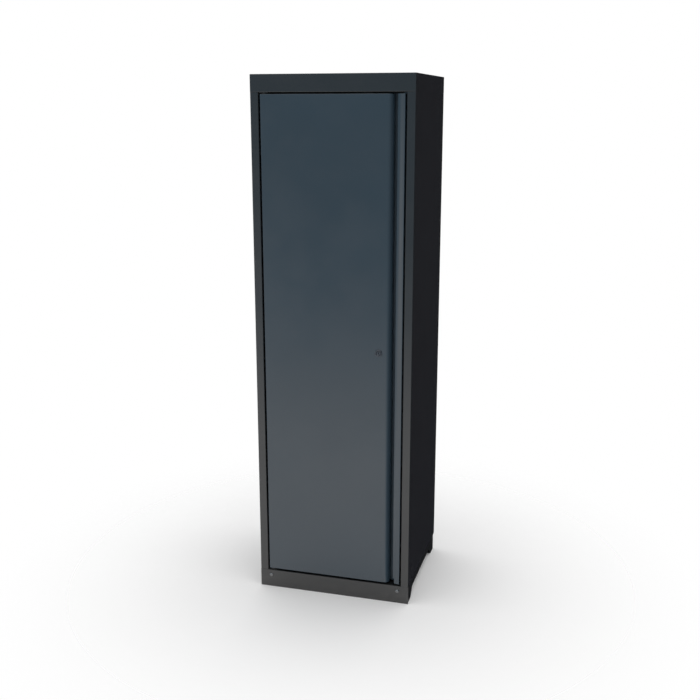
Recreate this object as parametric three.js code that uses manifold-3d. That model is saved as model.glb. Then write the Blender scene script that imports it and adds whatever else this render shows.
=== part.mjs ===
// A free-standing steel tool locker: a tall inset door with a rolled pull and a two-rod lock, and shelves.
// Millimetres, Z up, front towards -Y, origin on the floor under the middle of the cabinet.
import * as THREE from "three";
import { mergeVertices } from "three/addons/utils/BufferGeometryUtils.js";
import Module from "manifold-3d";

const wasm = await Module();
wasm.setup();

// Cabinet
const WIDTH = 457;
const DEPTH = 396;
const HEIGHT = 1500;
const SHEET = 1; // steel of the cabinet and the door
const FIT = 0.3; // gap between pieces that lie against each other
const RUN = 0.6; // clearance round pieces that slide, turn or hook in

// Front frame
const STILE = 23.4;
const TOP_RAIL = 47;
const KICK = 53.4;
const STOP_GAP = 6; // between the door's back and the stops behind it
const STOP_LIP = 14;
const SEAM_FLANGE = 15; // turned-in edges where two panels are welded together
const REAR_FLANGE = 18;

// Base
const SKIRT_INSET = 2;
const SKIRT_REAR_INSET = 6.5;
const FOOT = 40;
const FOOT_FLANGE = 30;
const FOOT_PLATE = 2;
const ARCH = 28; // height of the cut-out between two feet
const FRONT_TAB = 55; // the skirts' turned ends that carry the kick plate
const KICK_LIP = 15;

// Kick plate screws
const SCREW_INSET = 33; // from the side of the cabinet
const SCREW_HEIGHT = 38;
const SCREW_DIAMETER = 6;
const SCREW_LENGTH = 10;
const SCREW_HEAD = 11;
const SCREW_HEAD_HEIGHT = 3;
const SCREW_CROWN = 5; // flat middle of the domed head
const SCREW_SOCKET = 4;
const SCREW_SOCKET_DEPTH = 1.8;
const SCREW_NUT = 10;
const SCREW_NUT_HEIGHT = 5;

// Door
const DOOR_SIDE_GAP = 4.4;
const DOOR_TOP_GAP = 4.8;
const DOOR_BOTTOM_GAP = 5.9;
const DOOR_DEPTH = 26;
const DOOR_LIP = 15; // the turned-in rear edge of the door
const STIFFENER_X = -40;
const STIFFENER_WIDTH = 70;
const STIFFENER_DEPTH = 15;
const STIFFENER_FLANGE = 14;
const STIFFENER_MARGIN = 40; // from the door's ends

// Pull: the face bends back into a groove, and a rolled strip stands over the groove
const PULL_STRIP = 21.8;
const PULL_ROLL = 8.5; // radius of the rolled nose
const PULL_BEND = 17; // radius of the bend into the groove
const GROOVE_MOUTH = 26;
const PULL_NOTCH = 16; // the roll is cut away this far from the strip's lower end
const PULL_TAB = 10; // edge of the groove floor that the strip is welded to

// Pivots of the door
const PIVOT_INSET = 10;
const PIVOT_SETBACK = 8;
const PIVOT_PIN = 6;
const PIVOT_PIN_REACH = 12; // how far a pin stands in the door
const PIVOT_PLATE = 2;
const PIVOT_PLATE_WIDTH = 28;
const PIVOT_PLATE_DEPTH = 12;
const BUSH_DIAMETER = 10;
const BUSH_FLANGE = 13;
const BUSH_REACH = 8;

// Lock
const LOCK_HEIGHT = 752;
const LOCK_INSET = 19; // from the end of the door's flat face
const LOCK_BEZEL = 20;
const LOCK_BEZEL_DEPTH = 2;
const LOCK_BARREL = 17;
const LOCK_LENGTH = 18; // from the door's face to the barrel's end
const LOCK_NUT = 25;
const LOCK_NUT_HEIGHT = 4;
const PLUG_DIAMETER = 12;
const PLUG_RECESS = 0.5; // the plug's face lies this far inside the bezel
const PLUG_TAIL = 6; // square end that drives the cam
const KEYWAY_WIDTH = 2;
const KEYWAY_HEIGHT = 8;
const KEYWAY_DEPTH = 12;
const CAM_SHEET = 2.5;
const CAM_WIDTH = 13;
const CAM_ARM = 14; // from the lock's axis to a drive pin
const CAM_PIN = 5;
const CAM_SCREW_HEAD = 8;
const CAM_SCREW_HEAD_HEIGHT = 2.2;
const CAM_SCREW = 3;
const CAM_SCREW_LENGTH = 7;

// Lock rods
const ROD_WIDTH = 14;
const ROD_SHEET = 3;
const ROD_TIP_INSET = 1; // a drawn-in rod's tip stays this far inside the door's edge
const ROD_END = 5; // metal past the yoke slot
const YOKE_CLEARANCE = 0.9;
const STRIKE_CLEARANCE = 2; // round a rod's tip in the cabinet
const STRIKE_OPENING = 50; // length of the header's cut-out for the strike plate
const GUIDE_DISTANCE = 120; // of the guides from the door's ends
const GUIDE_SHEET = 1.5;
const GUIDE_FOOT = 20;
const GUIDE_WALL = 4; // metal round the rod in a guide

// Stops and catch
const BUFFER_DIAMETER = 10;
const BUFFER_END_DISTANCE = 190;
const CATCH_X = 60;
const CATCH_LENGTH = 46;
const CATCH_POLE = 3;
const CATCH_POLE_SPACING = 24;
const CATCH_POLE_RISE = 1.5; // the poles stand this far out of their housing

// Shelving
const UPRIGHT_WIDTH = 24;
const UPRIGHT_DEPTH = 10;
const UPRIGHT_SHEET = 1.2;
const UPRIGHT_INSET = 60; // from the door stops, and from the back
const SLOT_PITCH = 50;
const SLOT_START = 45; // lowest slot above the foot of the upright
const SHELF_SLOTS = [6, 13, 20]; // slots that carry the shelves, counted from the lowest
const SHELF_SETBACK = 14; // behind the door stops
const SHELF_CLEARANCE = 2;
const SHELF_LIP = 25;
const SHELF_RETURN = 12;
const CLIP_WIDTH = 12;
const CLIP_SHEET = 1.5;
const CLIP_TONGUE = 16;
const CLIP_PLATE = 12;
const CLIP_HOOK = 6;

// Facets
const ROUND = 24; // sides of round pieces
const HEX = 6;
const BEND_STEPS = 5; // half the steps of each round bend or end
const GRID = 1024; // steps in a millimetre that corners are set to, so that flush faces are exactly flush

// Planes that several pieces share
const RIGHT = WIDTH / 2;
const FRONT = -DEPTH / 2;
const BACK = DEPTH / 2;
const CAP_LOW = HEIGHT - TOP_RAIL;
const SHELL_LOW = KICK + FIT;
const SHELL_HIGH = CAP_LOW - FIT;
const JAMB_X = RIGHT - STILE;
const STOP_Y = FRONT + DOOR_DEPTH + STOP_GAP;
const STOP_X = JAMB_X - STOP_LIP;
const BACK_PANEL_Y = BACK - SHEET - FIT;
const INSIDE_X = RIGHT - SHEET - FIT;
const PAN_X = RIGHT - SKIRT_INSET;
const PAN_FRONT = FRONT + SHEET + FIT;
const PAN_REAR = BACK - SKIRT_REAR_INSET;
const DOOR_RIGHT = JAMB_X - DOOR_SIDE_GAP;
const DOOR_LEFT = -DOOR_RIGHT;
const DOOR_LOW = KICK + DOOR_BOTTOM_GAP;
const DOOR_HIGH = CAP_LOW - DOOR_TOP_GAP;
const DOOR_REAR = FRONT + DOOR_DEPTH;
const DOOR_INSIDE = FRONT + SHEET + FIT;
const FLAT_END = DOOR_RIGHT - PULL_STRIP - GROOVE_MOUTH;
const GROOVE_WALL = FLAT_END + PULL_BEND;
const PIVOT_X = DOOR_LEFT + PIVOT_INSET;
const PIVOT_Y = FRONT + PIVOT_SETBACK;
const LOCK_X = FLAT_END - LOCK_INSET;
const CAM_Y = FRONT + LOCK_LENGTH + FIT;
const ROD_Y = CAM_Y + CAM_SHEET + FIT;
const CAM_REST = -Math.PI / 4; // the drive pins' angle when the lock is open
const PIN_OFFSET = CAM_ARM * Math.SQRT1_2; // a drive pin's rise and offset in both end positions
const ROD_OFFSET = (PIN_OFFSET + CAM_ARM) / 2; // of a rod's middle from the lock's axis
const UPRIGHT_X = INSIDE_X - UPRIGHT_DEPTH;
const UPRIGHT_LOW = SHELL_LOW + SHEET + FIT;
const UPRIGHT_HIGH = SHELL_HIGH - SHEET - FIT;
const SHELF_X = UPRIGHT_X - SHELF_CLEARANCE;

// Finishes
function finish(color, roughness, metalness) {
  return new THREE.MeshStandardMaterial({ color, roughness, metalness });
}
const CARCASS_PAINT = finish(0x2e3033, 0.45, 0);
const DOOR_PAINT = finish(0x4c565e, 0.42, 0);
const ZINC = finish(0xa9adb0, 0.35, 1);
const DARK_STEEL = finish(0x4a4a4d, 0.3, 1);
const NICKEL = finish(0x4d4f54, 0.25, 1);
const NYLON = finish(0x1a1a1a, 0.55, 0);
const RUBBER = finish(0x1b1b1c, 0.8, 0);

// A closed geometry as a solid that can be joined and cut
function solidOf(geometry) {
  const bare = geometry.clone();
  bare.deleteAttribute("normal");
  bare.deleteAttribute("uv");
  const position = bare.getAttribute("position");
  position.array.forEach((value, i) => {
    position.array[i] = Math.round(value * GRID) / GRID;
  });
  const merged = mergeVertices(bare, 1 / GRID / 2);
  const vertProperties = merged.getAttribute("position").array;
  const triVerts = new Uint32Array(merged.index.array);
  return new wasm.Manifold(new wasm.Mesh({ numProp: 3, vertProperties, triVerts }));
}

function geometryOf(solid) {
  const { vertProperties, triVerts } = solid.getMesh();
  const geometry = new THREE.BufferGeometry();
  geometry.setAttribute("position", new THREE.BufferAttribute(vertProperties, 3));
  geometry.setIndex(new THREE.BufferAttribute(triVerts, 1));
  geometry.computeVertexNormals();
  return geometry;
}

function join(...geometries) {
  return geometryOf(geometries.map(solidOf).reduce((whole, part) => whole.add(part)));
}

function cut(geometry, ...tools) {
  return geometryOf(tools.map(solidOf).reduce((whole, tool) => whole.subtract(tool), solidOf(geometry)));
}

// A plate or block between two corners
function block([x0, x1], [y0, y1], [z0, z1]) {
  const geometry = new THREE.BoxGeometry(x1 - x0, y1 - y0, z1 - z0);
  return geometry.translate((x0 + x1) / 2, (y0 + y1) / 2, (z0 + z1) / 2);
}

function extrude(shape, depth) {
  return new THREE.ExtrudeGeometry(shape, { depth, bevelEnabled: false, curveSegments: BEND_STEPS });
}

// Outlines drawn in plan, from the side and from the front
function uprightPrism(shape, [z0, z1]) {
  return extrude(shape, z1 - z0).translate(0, 0, z0);
}

function sidewaysPrism(shape, [x0, x1]) {
  const turn = new THREE.Matrix4().set(0, 0, 1, x0, 1, 0, 0, 0, 0, 1, 0, 0, 0, 0, 0, 1);
  return extrude(shape, x1 - x0).applyMatrix4(turn);
}

function frontPrism(shape, [y0, y1]) {
  return extrude(shape, y1 - y0).rotateX(Math.PI / 2).translate(0, y1, 0);
}

function polygon(...corners) {
  return new THREE.Shape(corners.map(([x, y]) => new THREE.Vector2(x, y)));
}

function rectangle([x0, x1], [y0, y1]) {
  return polygon([x0, y0], [x1, y0], [x1, y1], [x0, y1]);
}

// A line of bends, made a sheet by moving it to its left by the sheet's thickness
function bentSheet(line, thickness) {
  const outer = line.getPoints(BEND_STEPS);
  const last = outer.length - 1;
  const leftOf = (from, to) => new THREE.Vector2(from.y - to.y, to.x - from.x).normalize();
  const inner = outer.map((point, i) => {
    const before = leftOf(outer[Math.max(i - 1, 0)], outer[Math.max(i, 1)]);
    const after = leftOf(outer[Math.min(i, last - 1)], outer[Math.min(i + 1, last)]);
    const mitre = before.clone().add(after);
    return mitre.multiplyScalar(thickness / (1 + before.dot(after))).add(point);
  });
  return new THREE.Shape([...outer, ...inner.reverse()]);
}

function bentLine(...corners) {
  const line = new THREE.Path();
  line.moveTo(...corners[0]);
  corners.slice(1).forEach((corner) => line.lineTo(...corner));
  return line;
}

// Round pieces: standing on Z, or lying along Y
function standingCylinder(diameter, [z0, z1]) {
  const geometry = new THREE.CylinderGeometry(diameter / 2, diameter / 2, z1 - z0, ROUND);
  return geometry.rotateX(Math.PI / 2).translate(0, 0, (z0 + z1) / 2);
}

function lyingCylinder(diameter, [y0, y1], sides = ROUND) {
  const geometry = new THREE.CylinderGeometry(diameter / 2, diameter / 2, y1 - y0, sides);
  return geometry.translate(0, (y0 + y1) / 2, 0);
}

function lyingTurned(...profile) {
  return new THREE.LatheGeometry(profile.map(([r, y]) => new THREE.Vector2(r, y)), ROUND);
}

const locker = new THREE.Group();
const carcass = new THREE.Group();
const door = new THREE.Group();
const lockPlug = new THREE.Group();
door.add(lockPlug);
locker.add(carcass, door);

function add(group, name, geometry, material, [x, y, z] = [0, 0, 0]) {
  const mesh = new THREE.Mesh(geometry, material);
  mesh.name = name;
  mesh.position.set(x, y, z);
  group.add(mesh);
  return mesh;
}

// One geometry drawn on the right, placed on both sides
function addPair(group, name, geometry, material) {
  add(group, `right_${name}`, geometry, material);
  add(group, `left_${name}`, geometry, material).scale.x = -1;
}

// A side: stile, jamb and door stop in front, turned-in edges behind, above and below
function sidePanel() {
  const fold = bentLine(
    [STOP_X, STOP_Y],
    [JAMB_X, STOP_Y],
    [JAMB_X, FRONT],
    [RIGHT, FRONT],
    [RIGHT, BACK],
    [RIGHT - REAR_FLANGE, BACK],
  );
  const edgeX = [RIGHT - SEAM_FLANGE, RIGHT];
  const edgeY = [FRONT, BACK_PANEL_Y - SHEET - FIT];
  return join(
    uprightPrism(bentSheet(fold, SHEET), [SHELL_LOW, SHELL_HIGH]),
    block(edgeX, edgeY, [SHELL_LOW, SHELL_LOW + SHEET]),
    block(edgeX, edgeY, [SHELL_HIGH - SHEET, SHELL_HIGH]),
  );
}

// The back lies inside the sides' rear flanges, and its ends turn in over the base and under the cap
function backPanel() {
  const edgeX = RIGHT - SEAM_FLANGE - FIT;
  const edgeY = [BACK_PANEL_Y - SHEET - SEAM_FLANGE, BACK_PANEL_Y];
  return join(
    block([-INSIDE_X, INSIDE_X], [BACK_PANEL_Y - SHEET, BACK_PANEL_Y], [SHELL_LOW, SHELL_HIGH]),
    block([-edgeX, edgeX], edgeY, [SHELL_LOW, SHELL_LOW + SHEET]),
    block([-edgeX, edgeX], edgeY, [SHELL_HIGH - SHEET, SHELL_HIGH]),
  );
}

// A slot that a lock rod passes through
function rodSlot(x, [z0, z1], clearance) {
  const halfWidth = ROD_WIDTH / 2 + clearance;
  const depth = [ROD_Y - clearance, ROD_Y + ROD_SHEET + clearance];
  return block([x - halfWidth, x + halfWidth], depth, [z0, z1]);
}

// A tray turned over, with its lower edges turned in
function tray([x0, x1], [y0, y1], [z0, z1], turnIn) {
  const hollow = block([x0 + SHEET, x1 - SHEET], [y0 + SHEET, y1 - SHEET], [z0 + SHEET, z1 - SHEET]);
  const mouth = block([x0 + turnIn, x1 - turnIn], [y0 + turnIn, y1 - turnIn], [z0 - FIT, z0 + SHEET + FIT]);
  return cut(block([x0, x1], [y0, y1], [z0, z1]), hollow, mouth);
}

// The header over the door lies on the cap's turned-in edges, and its lip is the upper door stop.
// A strike plate with the upper rod's slot fills a cut-out in it.
function addHeader() {
  const flange = [CAP_LOW + SHEET + FIT, CAP_LOW + SHEET + FIT + SHEET];
  const through = [flange[0] - FIT, flange[1] + FIT];
  const lip = STOP_X - RUN;
  const strikeX = LOCK_X + ROD_OFFSET;
  const half = STRIKE_OPENING / 2;
  const header = join(
    block([-INSIDE_X, INSIDE_X], [FRONT + SHEET + FIT, STOP_Y + SHEET], flange),
    block([-lip, lip], [STOP_Y, STOP_Y + SHEET], [CAP_LOW - STOP_LIP, flange[1]]),
  );
  const opening = block([strikeX - half, strikeX + half], [FRONT, STOP_Y], through);
  add(carcass, "door_header", cut(header, opening), CARCASS_PAINT);
  const plate = block(
    [strikeX - half + FIT, strikeX + half - FIT],
    [FRONT + SHEET + FIT, STOP_Y - FIT],
    flange,
  );
  add(carcass, "upper_strike_plate", cut(plate, rodSlot(strikeX, through, STRIKE_CLEARANCE)), CARCASS_PAINT);
}

// A skirt's outline between two ends: a foot at each, and the edge raised between them
function skirt([start, end]) {
  return polygon(
    [start, 0],
    [start + FOOT, 0],
    [start + FOOT + ARCH, ARCH],
    [end - FOOT - ARCH, ARCH],
    [end - FOOT, 0],
    [end, 0],
    [end, KICK],
    [start, KICK],
  );
}

function screwHole(side, [y0, y1]) {
  const hole = lyingCylinder(SCREW_DIAMETER + 2 * RUN, [y0, y1]);
  return hole.translate(side * (RIGHT - SCREW_INSET), 0, SCREW_HEIGHT);
}

// The base: floor pan, skirts on three sides, feet, and tabs in front for the kick plate
function baseFrame() {
  const ends = [PAN_FRONT, PAN_REAR];
  const tab = [PAN_FRONT, PAN_FRONT + SHEET];
  const parts = [
    block([-PAN_X, PAN_X], ends, [KICK - SHEET, KICK]),
    frontPrism(skirt([-PAN_X, PAN_X]), [PAN_REAR - SHEET, PAN_REAR]),
  ];
  for (const side of [-1, 1]) {
    const across = (from, to) => [side * from, side * to].sort((a, b) => a - b);
    const foot = across(PAN_X - FOOT_FLANGE, PAN_X);
    parts.push(
      sidewaysPrism(skirt(ends), across(PAN_X - SHEET, PAN_X)),
      block(across(PAN_X - FRONT_TAB, PAN_X), tab, [0, KICK]),
      block(foot, [PAN_FRONT, PAN_FRONT + FOOT], [0, FOOT_PLATE]),
      block(foot, [PAN_REAR - FOOT, PAN_REAR], [0, FOOT_PLATE]),
    );
  }
  const reach = [tab[0] - FIT, tab[1] + FIT];
  const strike = rodSlot(LOCK_X - ROD_OFFSET, [KICK - SHEET - FIT, KICK + FIT], STRIKE_CLEARANCE);
  return cut(join(...parts), screwHole(-1, reach), screwHole(1, reach), strike);
}

function kickPlate() {
  const lip = PAN_X - FRONT_TAB - RUN;
  const lipY = [FRONT, FRONT + KICK_LIP];
  const upper = KICK - SHEET - FIT;
  const plate = join(
    block([-RIGHT, RIGHT], [FRONT, FRONT + SHEET], [0, KICK]),
    block([-lip, lip], lipY, [0, SHEET]),
    block([-lip, lip], lipY, [upper - SHEET, upper]),
  );
  const reach = [FRONT - FIT, FRONT + SHEET + FIT];
  return cut(plate, screwHole(-1, reach), screwHole(1, reach));
}

// A button-head screw pointing along +Y, with the underside of its head at 0
function kickScrew() {
  const dome = Array.from({ length: BEND_STEPS + 1 }, (_, i) => {
    const angle = ((Math.PI / 2) * i) / BEND_STEPS;
    const radius = SCREW_CROWN + (SCREW_HEAD - SCREW_CROWN) * Math.sin(angle);
    return [radius / 2, -SCREW_HEAD_HEIGHT * Math.cos(angle)];
  });
  const turned = lyingTurned(
    [0, -SCREW_HEAD_HEIGHT],
    ...dome.slice(0, -1),
    [SCREW_HEAD / 2, 0],
    [SCREW_DIAMETER / 2, 0],
    [SCREW_DIAMETER / 2, SCREW_LENGTH],
    [0, SCREW_LENGTH],
  );
  const socketEnd = SCREW_SOCKET_DEPTH - SCREW_HEAD_HEIGHT;
  return cut(turned, lyingCylinder(SCREW_SOCKET, [-SCREW_HEAD_HEIGHT - FIT, socketEnd], HEX));
}

function nut(acrossCorners, bore, height) {
  return cut(lyingCylinder(acrossCorners, [0, height], HEX), lyingCylinder(bore, [-FIT, height + FIT]));
}

function addKickFixings() {
  const screw = kickScrew();
  const screwNut = nut(SCREW_NUT / Math.cos(Math.PI / HEX), SCREW_DIAMETER + RUN, SCREW_NUT_HEIGHT);
  for (const [name, side] of [["left", -1], ["right", 1]]) {
    const x = side * (RIGHT - SCREW_INSET);
    add(carcass, `${name}_kick_screw`, screw, DARK_STEEL, [x, FRONT - FIT, SCREW_HEIGHT]);
    add(carcass, `${name}_kick_nut`, screwNut, ZINC, [x, PAN_FRONT + SHEET + FIT, SCREW_HEIGHT]);
  }
}

// Heights of the slots, as the height of a clip's tongue in each
function slotHeights() {
  const count = Math.floor((UPRIGHT_HIGH - UPRIGHT_LOW - 2 * SLOT_START) / SLOT_PITCH) + 1;
  return Array.from({ length: count }, (_, i) => UPRIGHT_LOW + SLOT_START + i * SLOT_PITCH);
}

// A channel with its open side against the cabinet's side, and slots in its face
function shelfUpright() {
  const face = rectangle([-UPRIGHT_WIDTH / 2, UPRIGHT_WIDTH / 2], [UPRIGHT_LOW, UPRIGHT_HIGH]);
  const slotY = [-CLIP_WIDTH / 2 - RUN, CLIP_WIDTH / 2 + RUN];
  face.holes = slotHeights().map((z) => rectangle(slotY, [z - CLIP_SHEET - RUN, z + RUN]));
  const sideX = [UPRIGHT_X, INSIDE_X];
  const sideZ = [UPRIGHT_LOW, UPRIGHT_HIGH];
  return join(
    sidewaysPrism(face, [UPRIGHT_X, UPRIGHT_X + UPRIGHT_SHEET]),
    block(sideX, [-UPRIGHT_WIDTH / 2, UPRIGHT_SHEET - UPRIGHT_WIDTH / 2], sideZ),
    block(sideX, [UPRIGHT_WIDTH / 2 - UPRIGHT_SHEET, UPRIGHT_WIDTH / 2], sideZ),
  );
}

// A clip hooked in a slot, its tongue's top at height 0
function shelfClip() {
  const hook = UPRIGHT_X + UPRIGHT_SHEET + RUN;
  const plate = UPRIGHT_X - FIT;
  const outline = polygon(
    [UPRIGHT_X - CLIP_TONGUE, 0],
    [UPRIGHT_X - CLIP_TONGUE, -CLIP_SHEET],
    [plate - CLIP_SHEET, -CLIP_SHEET],
    [plate - CLIP_SHEET, -CLIP_PLATE],
    [plate, -CLIP_PLATE],
    [plate, -CLIP_SHEET],
    [hook + CLIP_SHEET, -CLIP_SHEET],
    [hook + CLIP_SHEET, CLIP_HOOK],
    [hook, CLIP_HOOK],
    [hook, 0],
  );
  return frontPrism(outline, [-CLIP_WIDTH / 2, CLIP_WIDTH / 2]);
}

function addShelving() {
  const upright = shelfUpright();
  const clip = shelfClip();
  const shelfY = [STOP_Y + SHEET + SHELF_SETBACK, BACK_PANEL_Y - SHEET - SHELF_CLEARANCE];
  const shelf = tray([-SHELF_X, SHELF_X], shelfY, [0, SHELF_LIP], SHELF_RETURN);
  const heights = slotHeights();
  const rows = [["front", STOP_Y + SHEET + UPRIGHT_INSET], ["rear", BACK_PANEL_Y - UPRIGHT_INSET]];
  const sides = [["left", -1], ["right", 1]];
  for (const [row, y] of rows) {
    for (const [side, sign] of sides) {
      add(carcass, `${row}_${side}_upright`, upright, CARCASS_PAINT, [0, y, 0]).scale.x = sign;
      SHELF_SLOTS.forEach((slot, i) => {
        const name = `shelf_${i + 1}_${row}_${side}_clip`;
        add(carcass, name, clip, ZINC, [0, y, heights[slot]]).scale.x = sign;
      });
    }
  }
  SHELF_SLOTS.forEach((slot, i) => {
    add(carcass, `shelf_${i + 1}`, shelf, CARCASS_PAINT, [0, 0, heights[slot] + FIT]);
  });
}

// Plates, pins and bushes that the door turns on, below and above
function addPivots() {
  const plateX = [-PIVOT_PLATE_WIDTH / 2, PIVOT_PLATE_WIDTH / 2];
  const plateY = [-PIVOT_PLATE_DEPTH / 2, PIVOT_PLATE_DEPTH / 2];
  const axis = [PIVOT_X, PIVOT_Y, 0];
  const pinHole = (z0, z1) => standingCylinder(PIVOT_PIN + 2 * FIT, [z0 - FIT, z1 + FIT]);
  const lowPlate = [SHELL_LOW, SHELL_LOW + PIVOT_PLATE];
  const highPlate = [SHELL_HIGH - PIVOT_PLATE, SHELL_HIGH];
  const plate = ([z0, z1]) => cut(block(plateX, plateY, [z0, z1]), pinHole(z0, z1));
  add(carcass, "lower_pivot_plate", plate(lowPlate), CARCASS_PAINT, axis);
  add(carcass, "upper_pivot_plate", plate(highPlate), CARCASS_PAINT, axis);
  const lowPin = standingCylinder(PIVOT_PIN, [lowPlate[0], DOOR_LOW + PIVOT_PIN_REACH]);
  const highPin = standingCylinder(PIVOT_PIN, [DOOR_HIGH - PIVOT_PIN_REACH, highPlate[1]]);
  add(carcass, "lower_pivot_pin", lowPin, ZINC, axis);
  add(carcass, "upper_pivot_pin", highPin, ZINC, axis);
  const bore = (z0, z1) => standingCylinder(PIVOT_PIN + 2 * RUN, [z0 - FIT, z1 + FIT]);
  const bush = (flange, body) => {
    const whole = join(standingCylinder(BUSH_FLANGE, flange), standingCylinder(BUSH_DIAMETER, body));
    return cut(whole, bore(Math.min(flange[0], body[0]), Math.max(flange[1], body[1])));
  };
  const lowFlange = [lowPlate[1] + FIT, DOOR_LOW - FIT];
  const highFlange = [DOOR_HIGH + FIT, highPlate[0] - FIT];
  const lowBody = [lowFlange[0], DOOR_LOW + BUSH_REACH];
  const highBody = [DOOR_HIGH - BUSH_REACH, highFlange[1]];
  add(door, "lower_pivot_bush", bush(lowFlange, lowBody), NYLON, axis);
  add(door, "upper_pivot_bush", bush(highFlange, highBody), NYLON, axis);
}

// The door's face runs into the bend, the groove and the edge behind the pull strip
function doorFold() {
  const floor = DOOR_REAR - SHEET;
  const edge = DOOR_RIGHT - SHEET - FIT - SHEET;
  const fold = new THREE.Path();
  fold.moveTo(DOOR_LEFT + DOOR_LIP, DOOR_REAR);
  fold.lineTo(DOOR_LEFT, DOOR_REAR);
  fold.lineTo(DOOR_LEFT, FRONT);
  fold.lineTo(FLAT_END, FRONT);
  fold.absarc(FLAT_END, FRONT + PULL_BEND, PULL_BEND, -Math.PI / 2, 0, false);
  fold.lineTo(GROOVE_WALL, floor);
  fold.lineTo(edge, floor);
  fold.lineTo(edge, floor - PULL_TAB);
  return fold;
}

// The door's section without the groove, which closes its ends
function doorEnd() {
  const outline = new THREE.Shape();
  outline.moveTo(DOOR_LEFT, DOOR_REAR);
  outline.lineTo(DOOR_LEFT, FRONT);
  outline.lineTo(FLAT_END, FRONT);
  outline.absarc(FLAT_END, FRONT + PULL_BEND, PULL_BEND, -Math.PI / 2, 0, false);
  outline.lineTo(GROOVE_WALL, DOOR_REAR);
  return outline;
}

function doorSkin() {
  const lipX = [DOOR_LEFT, GROOVE_WALL];
  const lipY = [DOOR_REAR - SHEET, DOOR_REAR];
  const low = [DOOR_LOW, DOOR_LOW + SHEET];
  const high = [DOOR_HIGH - SHEET, DOOR_HIGH];
  const skin = join(
    uprightPrism(bentSheet(doorFold(), SHEET), [DOOR_LOW, DOOR_HIGH]),
    uprightPrism(doorEnd(), low),
    uprightPrism(doorEnd(), high),
    block(lipX, lipY, [DOOR_LOW, DOOR_LOW + DOOR_LIP]),
    block(lipX, lipY, [DOOR_HIGH - DOOR_LIP, DOOR_HIGH]),
  );
  const through = ([z0, z1]) => [z0 - FIT, z1 + FIT];
  const bushHole = (span) => {
    const hole = standingCylinder(BUSH_DIAMETER + 2 * FIT, through(span));
    return hole.translate(PIVOT_X, PIVOT_Y, 0);
  };
  const lockHole = lyingCylinder(LOCK_BARREL + 2 * FIT, [FRONT - FIT, DOOR_INSIDE]);
  return cut(
    skin,
    bushHole(low),
    bushHole(high),
    rodSlot(LOCK_X + ROD_OFFSET, through(high), RUN),
    rodSlot(LOCK_X - ROD_OFFSET, through(low), RUN),
    lockHole.translate(LOCK_X, 0, LOCK_HEIGHT),
  );
}

// The strip over the groove: a side, a narrow front and a rolled nose that stops short of its foot
function pullRail() {
  const rollX = DOOR_RIGHT - PULL_STRIP + PULL_ROLL;
  const fold = new THREE.Path();
  fold.absarc(rollX, FRONT + PULL_ROLL, PULL_ROLL, Math.PI / 2, 1.5 * Math.PI, false);
  fold.lineTo(DOOR_RIGHT, FRONT);
  fold.lineTo(DOOR_RIGHT, DOOR_REAR);
  const rail = uprightPrism(bentSheet(fold, SHEET), [DOOR_LOW, DOOR_HIGH]);
  const notchX = [rollX - PULL_ROLL - FIT, rollX];
  const notchY = [FRONT - FIT, FRONT + 2 * PULL_ROLL + FIT];
  return cut(rail, block(notchX, notchY, [DOOR_LOW - FIT, DOOR_LOW + PULL_NOTCH]));
}

function doorStiffener() {
  const left = STIFFENER_X - STIFFENER_WIDTH / 2;
  const right = STIFFENER_X + STIFFENER_WIDTH / 2;
  const crown = DOOR_INSIDE + STIFFENER_DEPTH;
  const fold = bentLine(
    [left - STIFFENER_FLANGE, DOOR_INSIDE],
    [left, DOOR_INSIDE],
    [left, crown],
    [right, crown],
    [right, DOOR_INSIDE],
    [right + STIFFENER_FLANGE, DOOR_INSIDE],
  );
  return uprightPrism(bentSheet(fold, SHEET), [DOOR_LOW + STIFFENER_MARGIN, DOOR_HIGH - STIFFENER_MARGIN]);
}

// The lock's fixed part: bezel, barrel and the nut behind the door's face
function addLockBody() {
  const bore = PLUG_DIAMETER / 2 + RUN;
  const bezel = LOCK_BEZEL / 2;
  const barrel = LOCK_BARREL / 2;
  const face = -FIT - LOCK_BEZEL_DEPTH;
  const body = lyingTurned(
    [bore, face],
    [bezel - LOCK_BEZEL_DEPTH / 2, face],
    [bezel, -FIT - LOCK_BEZEL_DEPTH / 2],
    [bezel, -FIT],
    [barrel, -FIT],
    [barrel, LOCK_LENGTH],
    [bore, LOCK_LENGTH],
    [bore, face],
  );
  add(door, "lock_body", body, NICKEL, [LOCK_X, FRONT, LOCK_HEIGHT]);
  const barrelNut = nut(LOCK_NUT, LOCK_BARREL + RUN, LOCK_NUT_HEIGHT);
  add(door, "lock_nut", barrelNut, ZINC, [LOCK_X, DOOR_INSIDE, LOCK_HEIGHT]);
}

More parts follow.
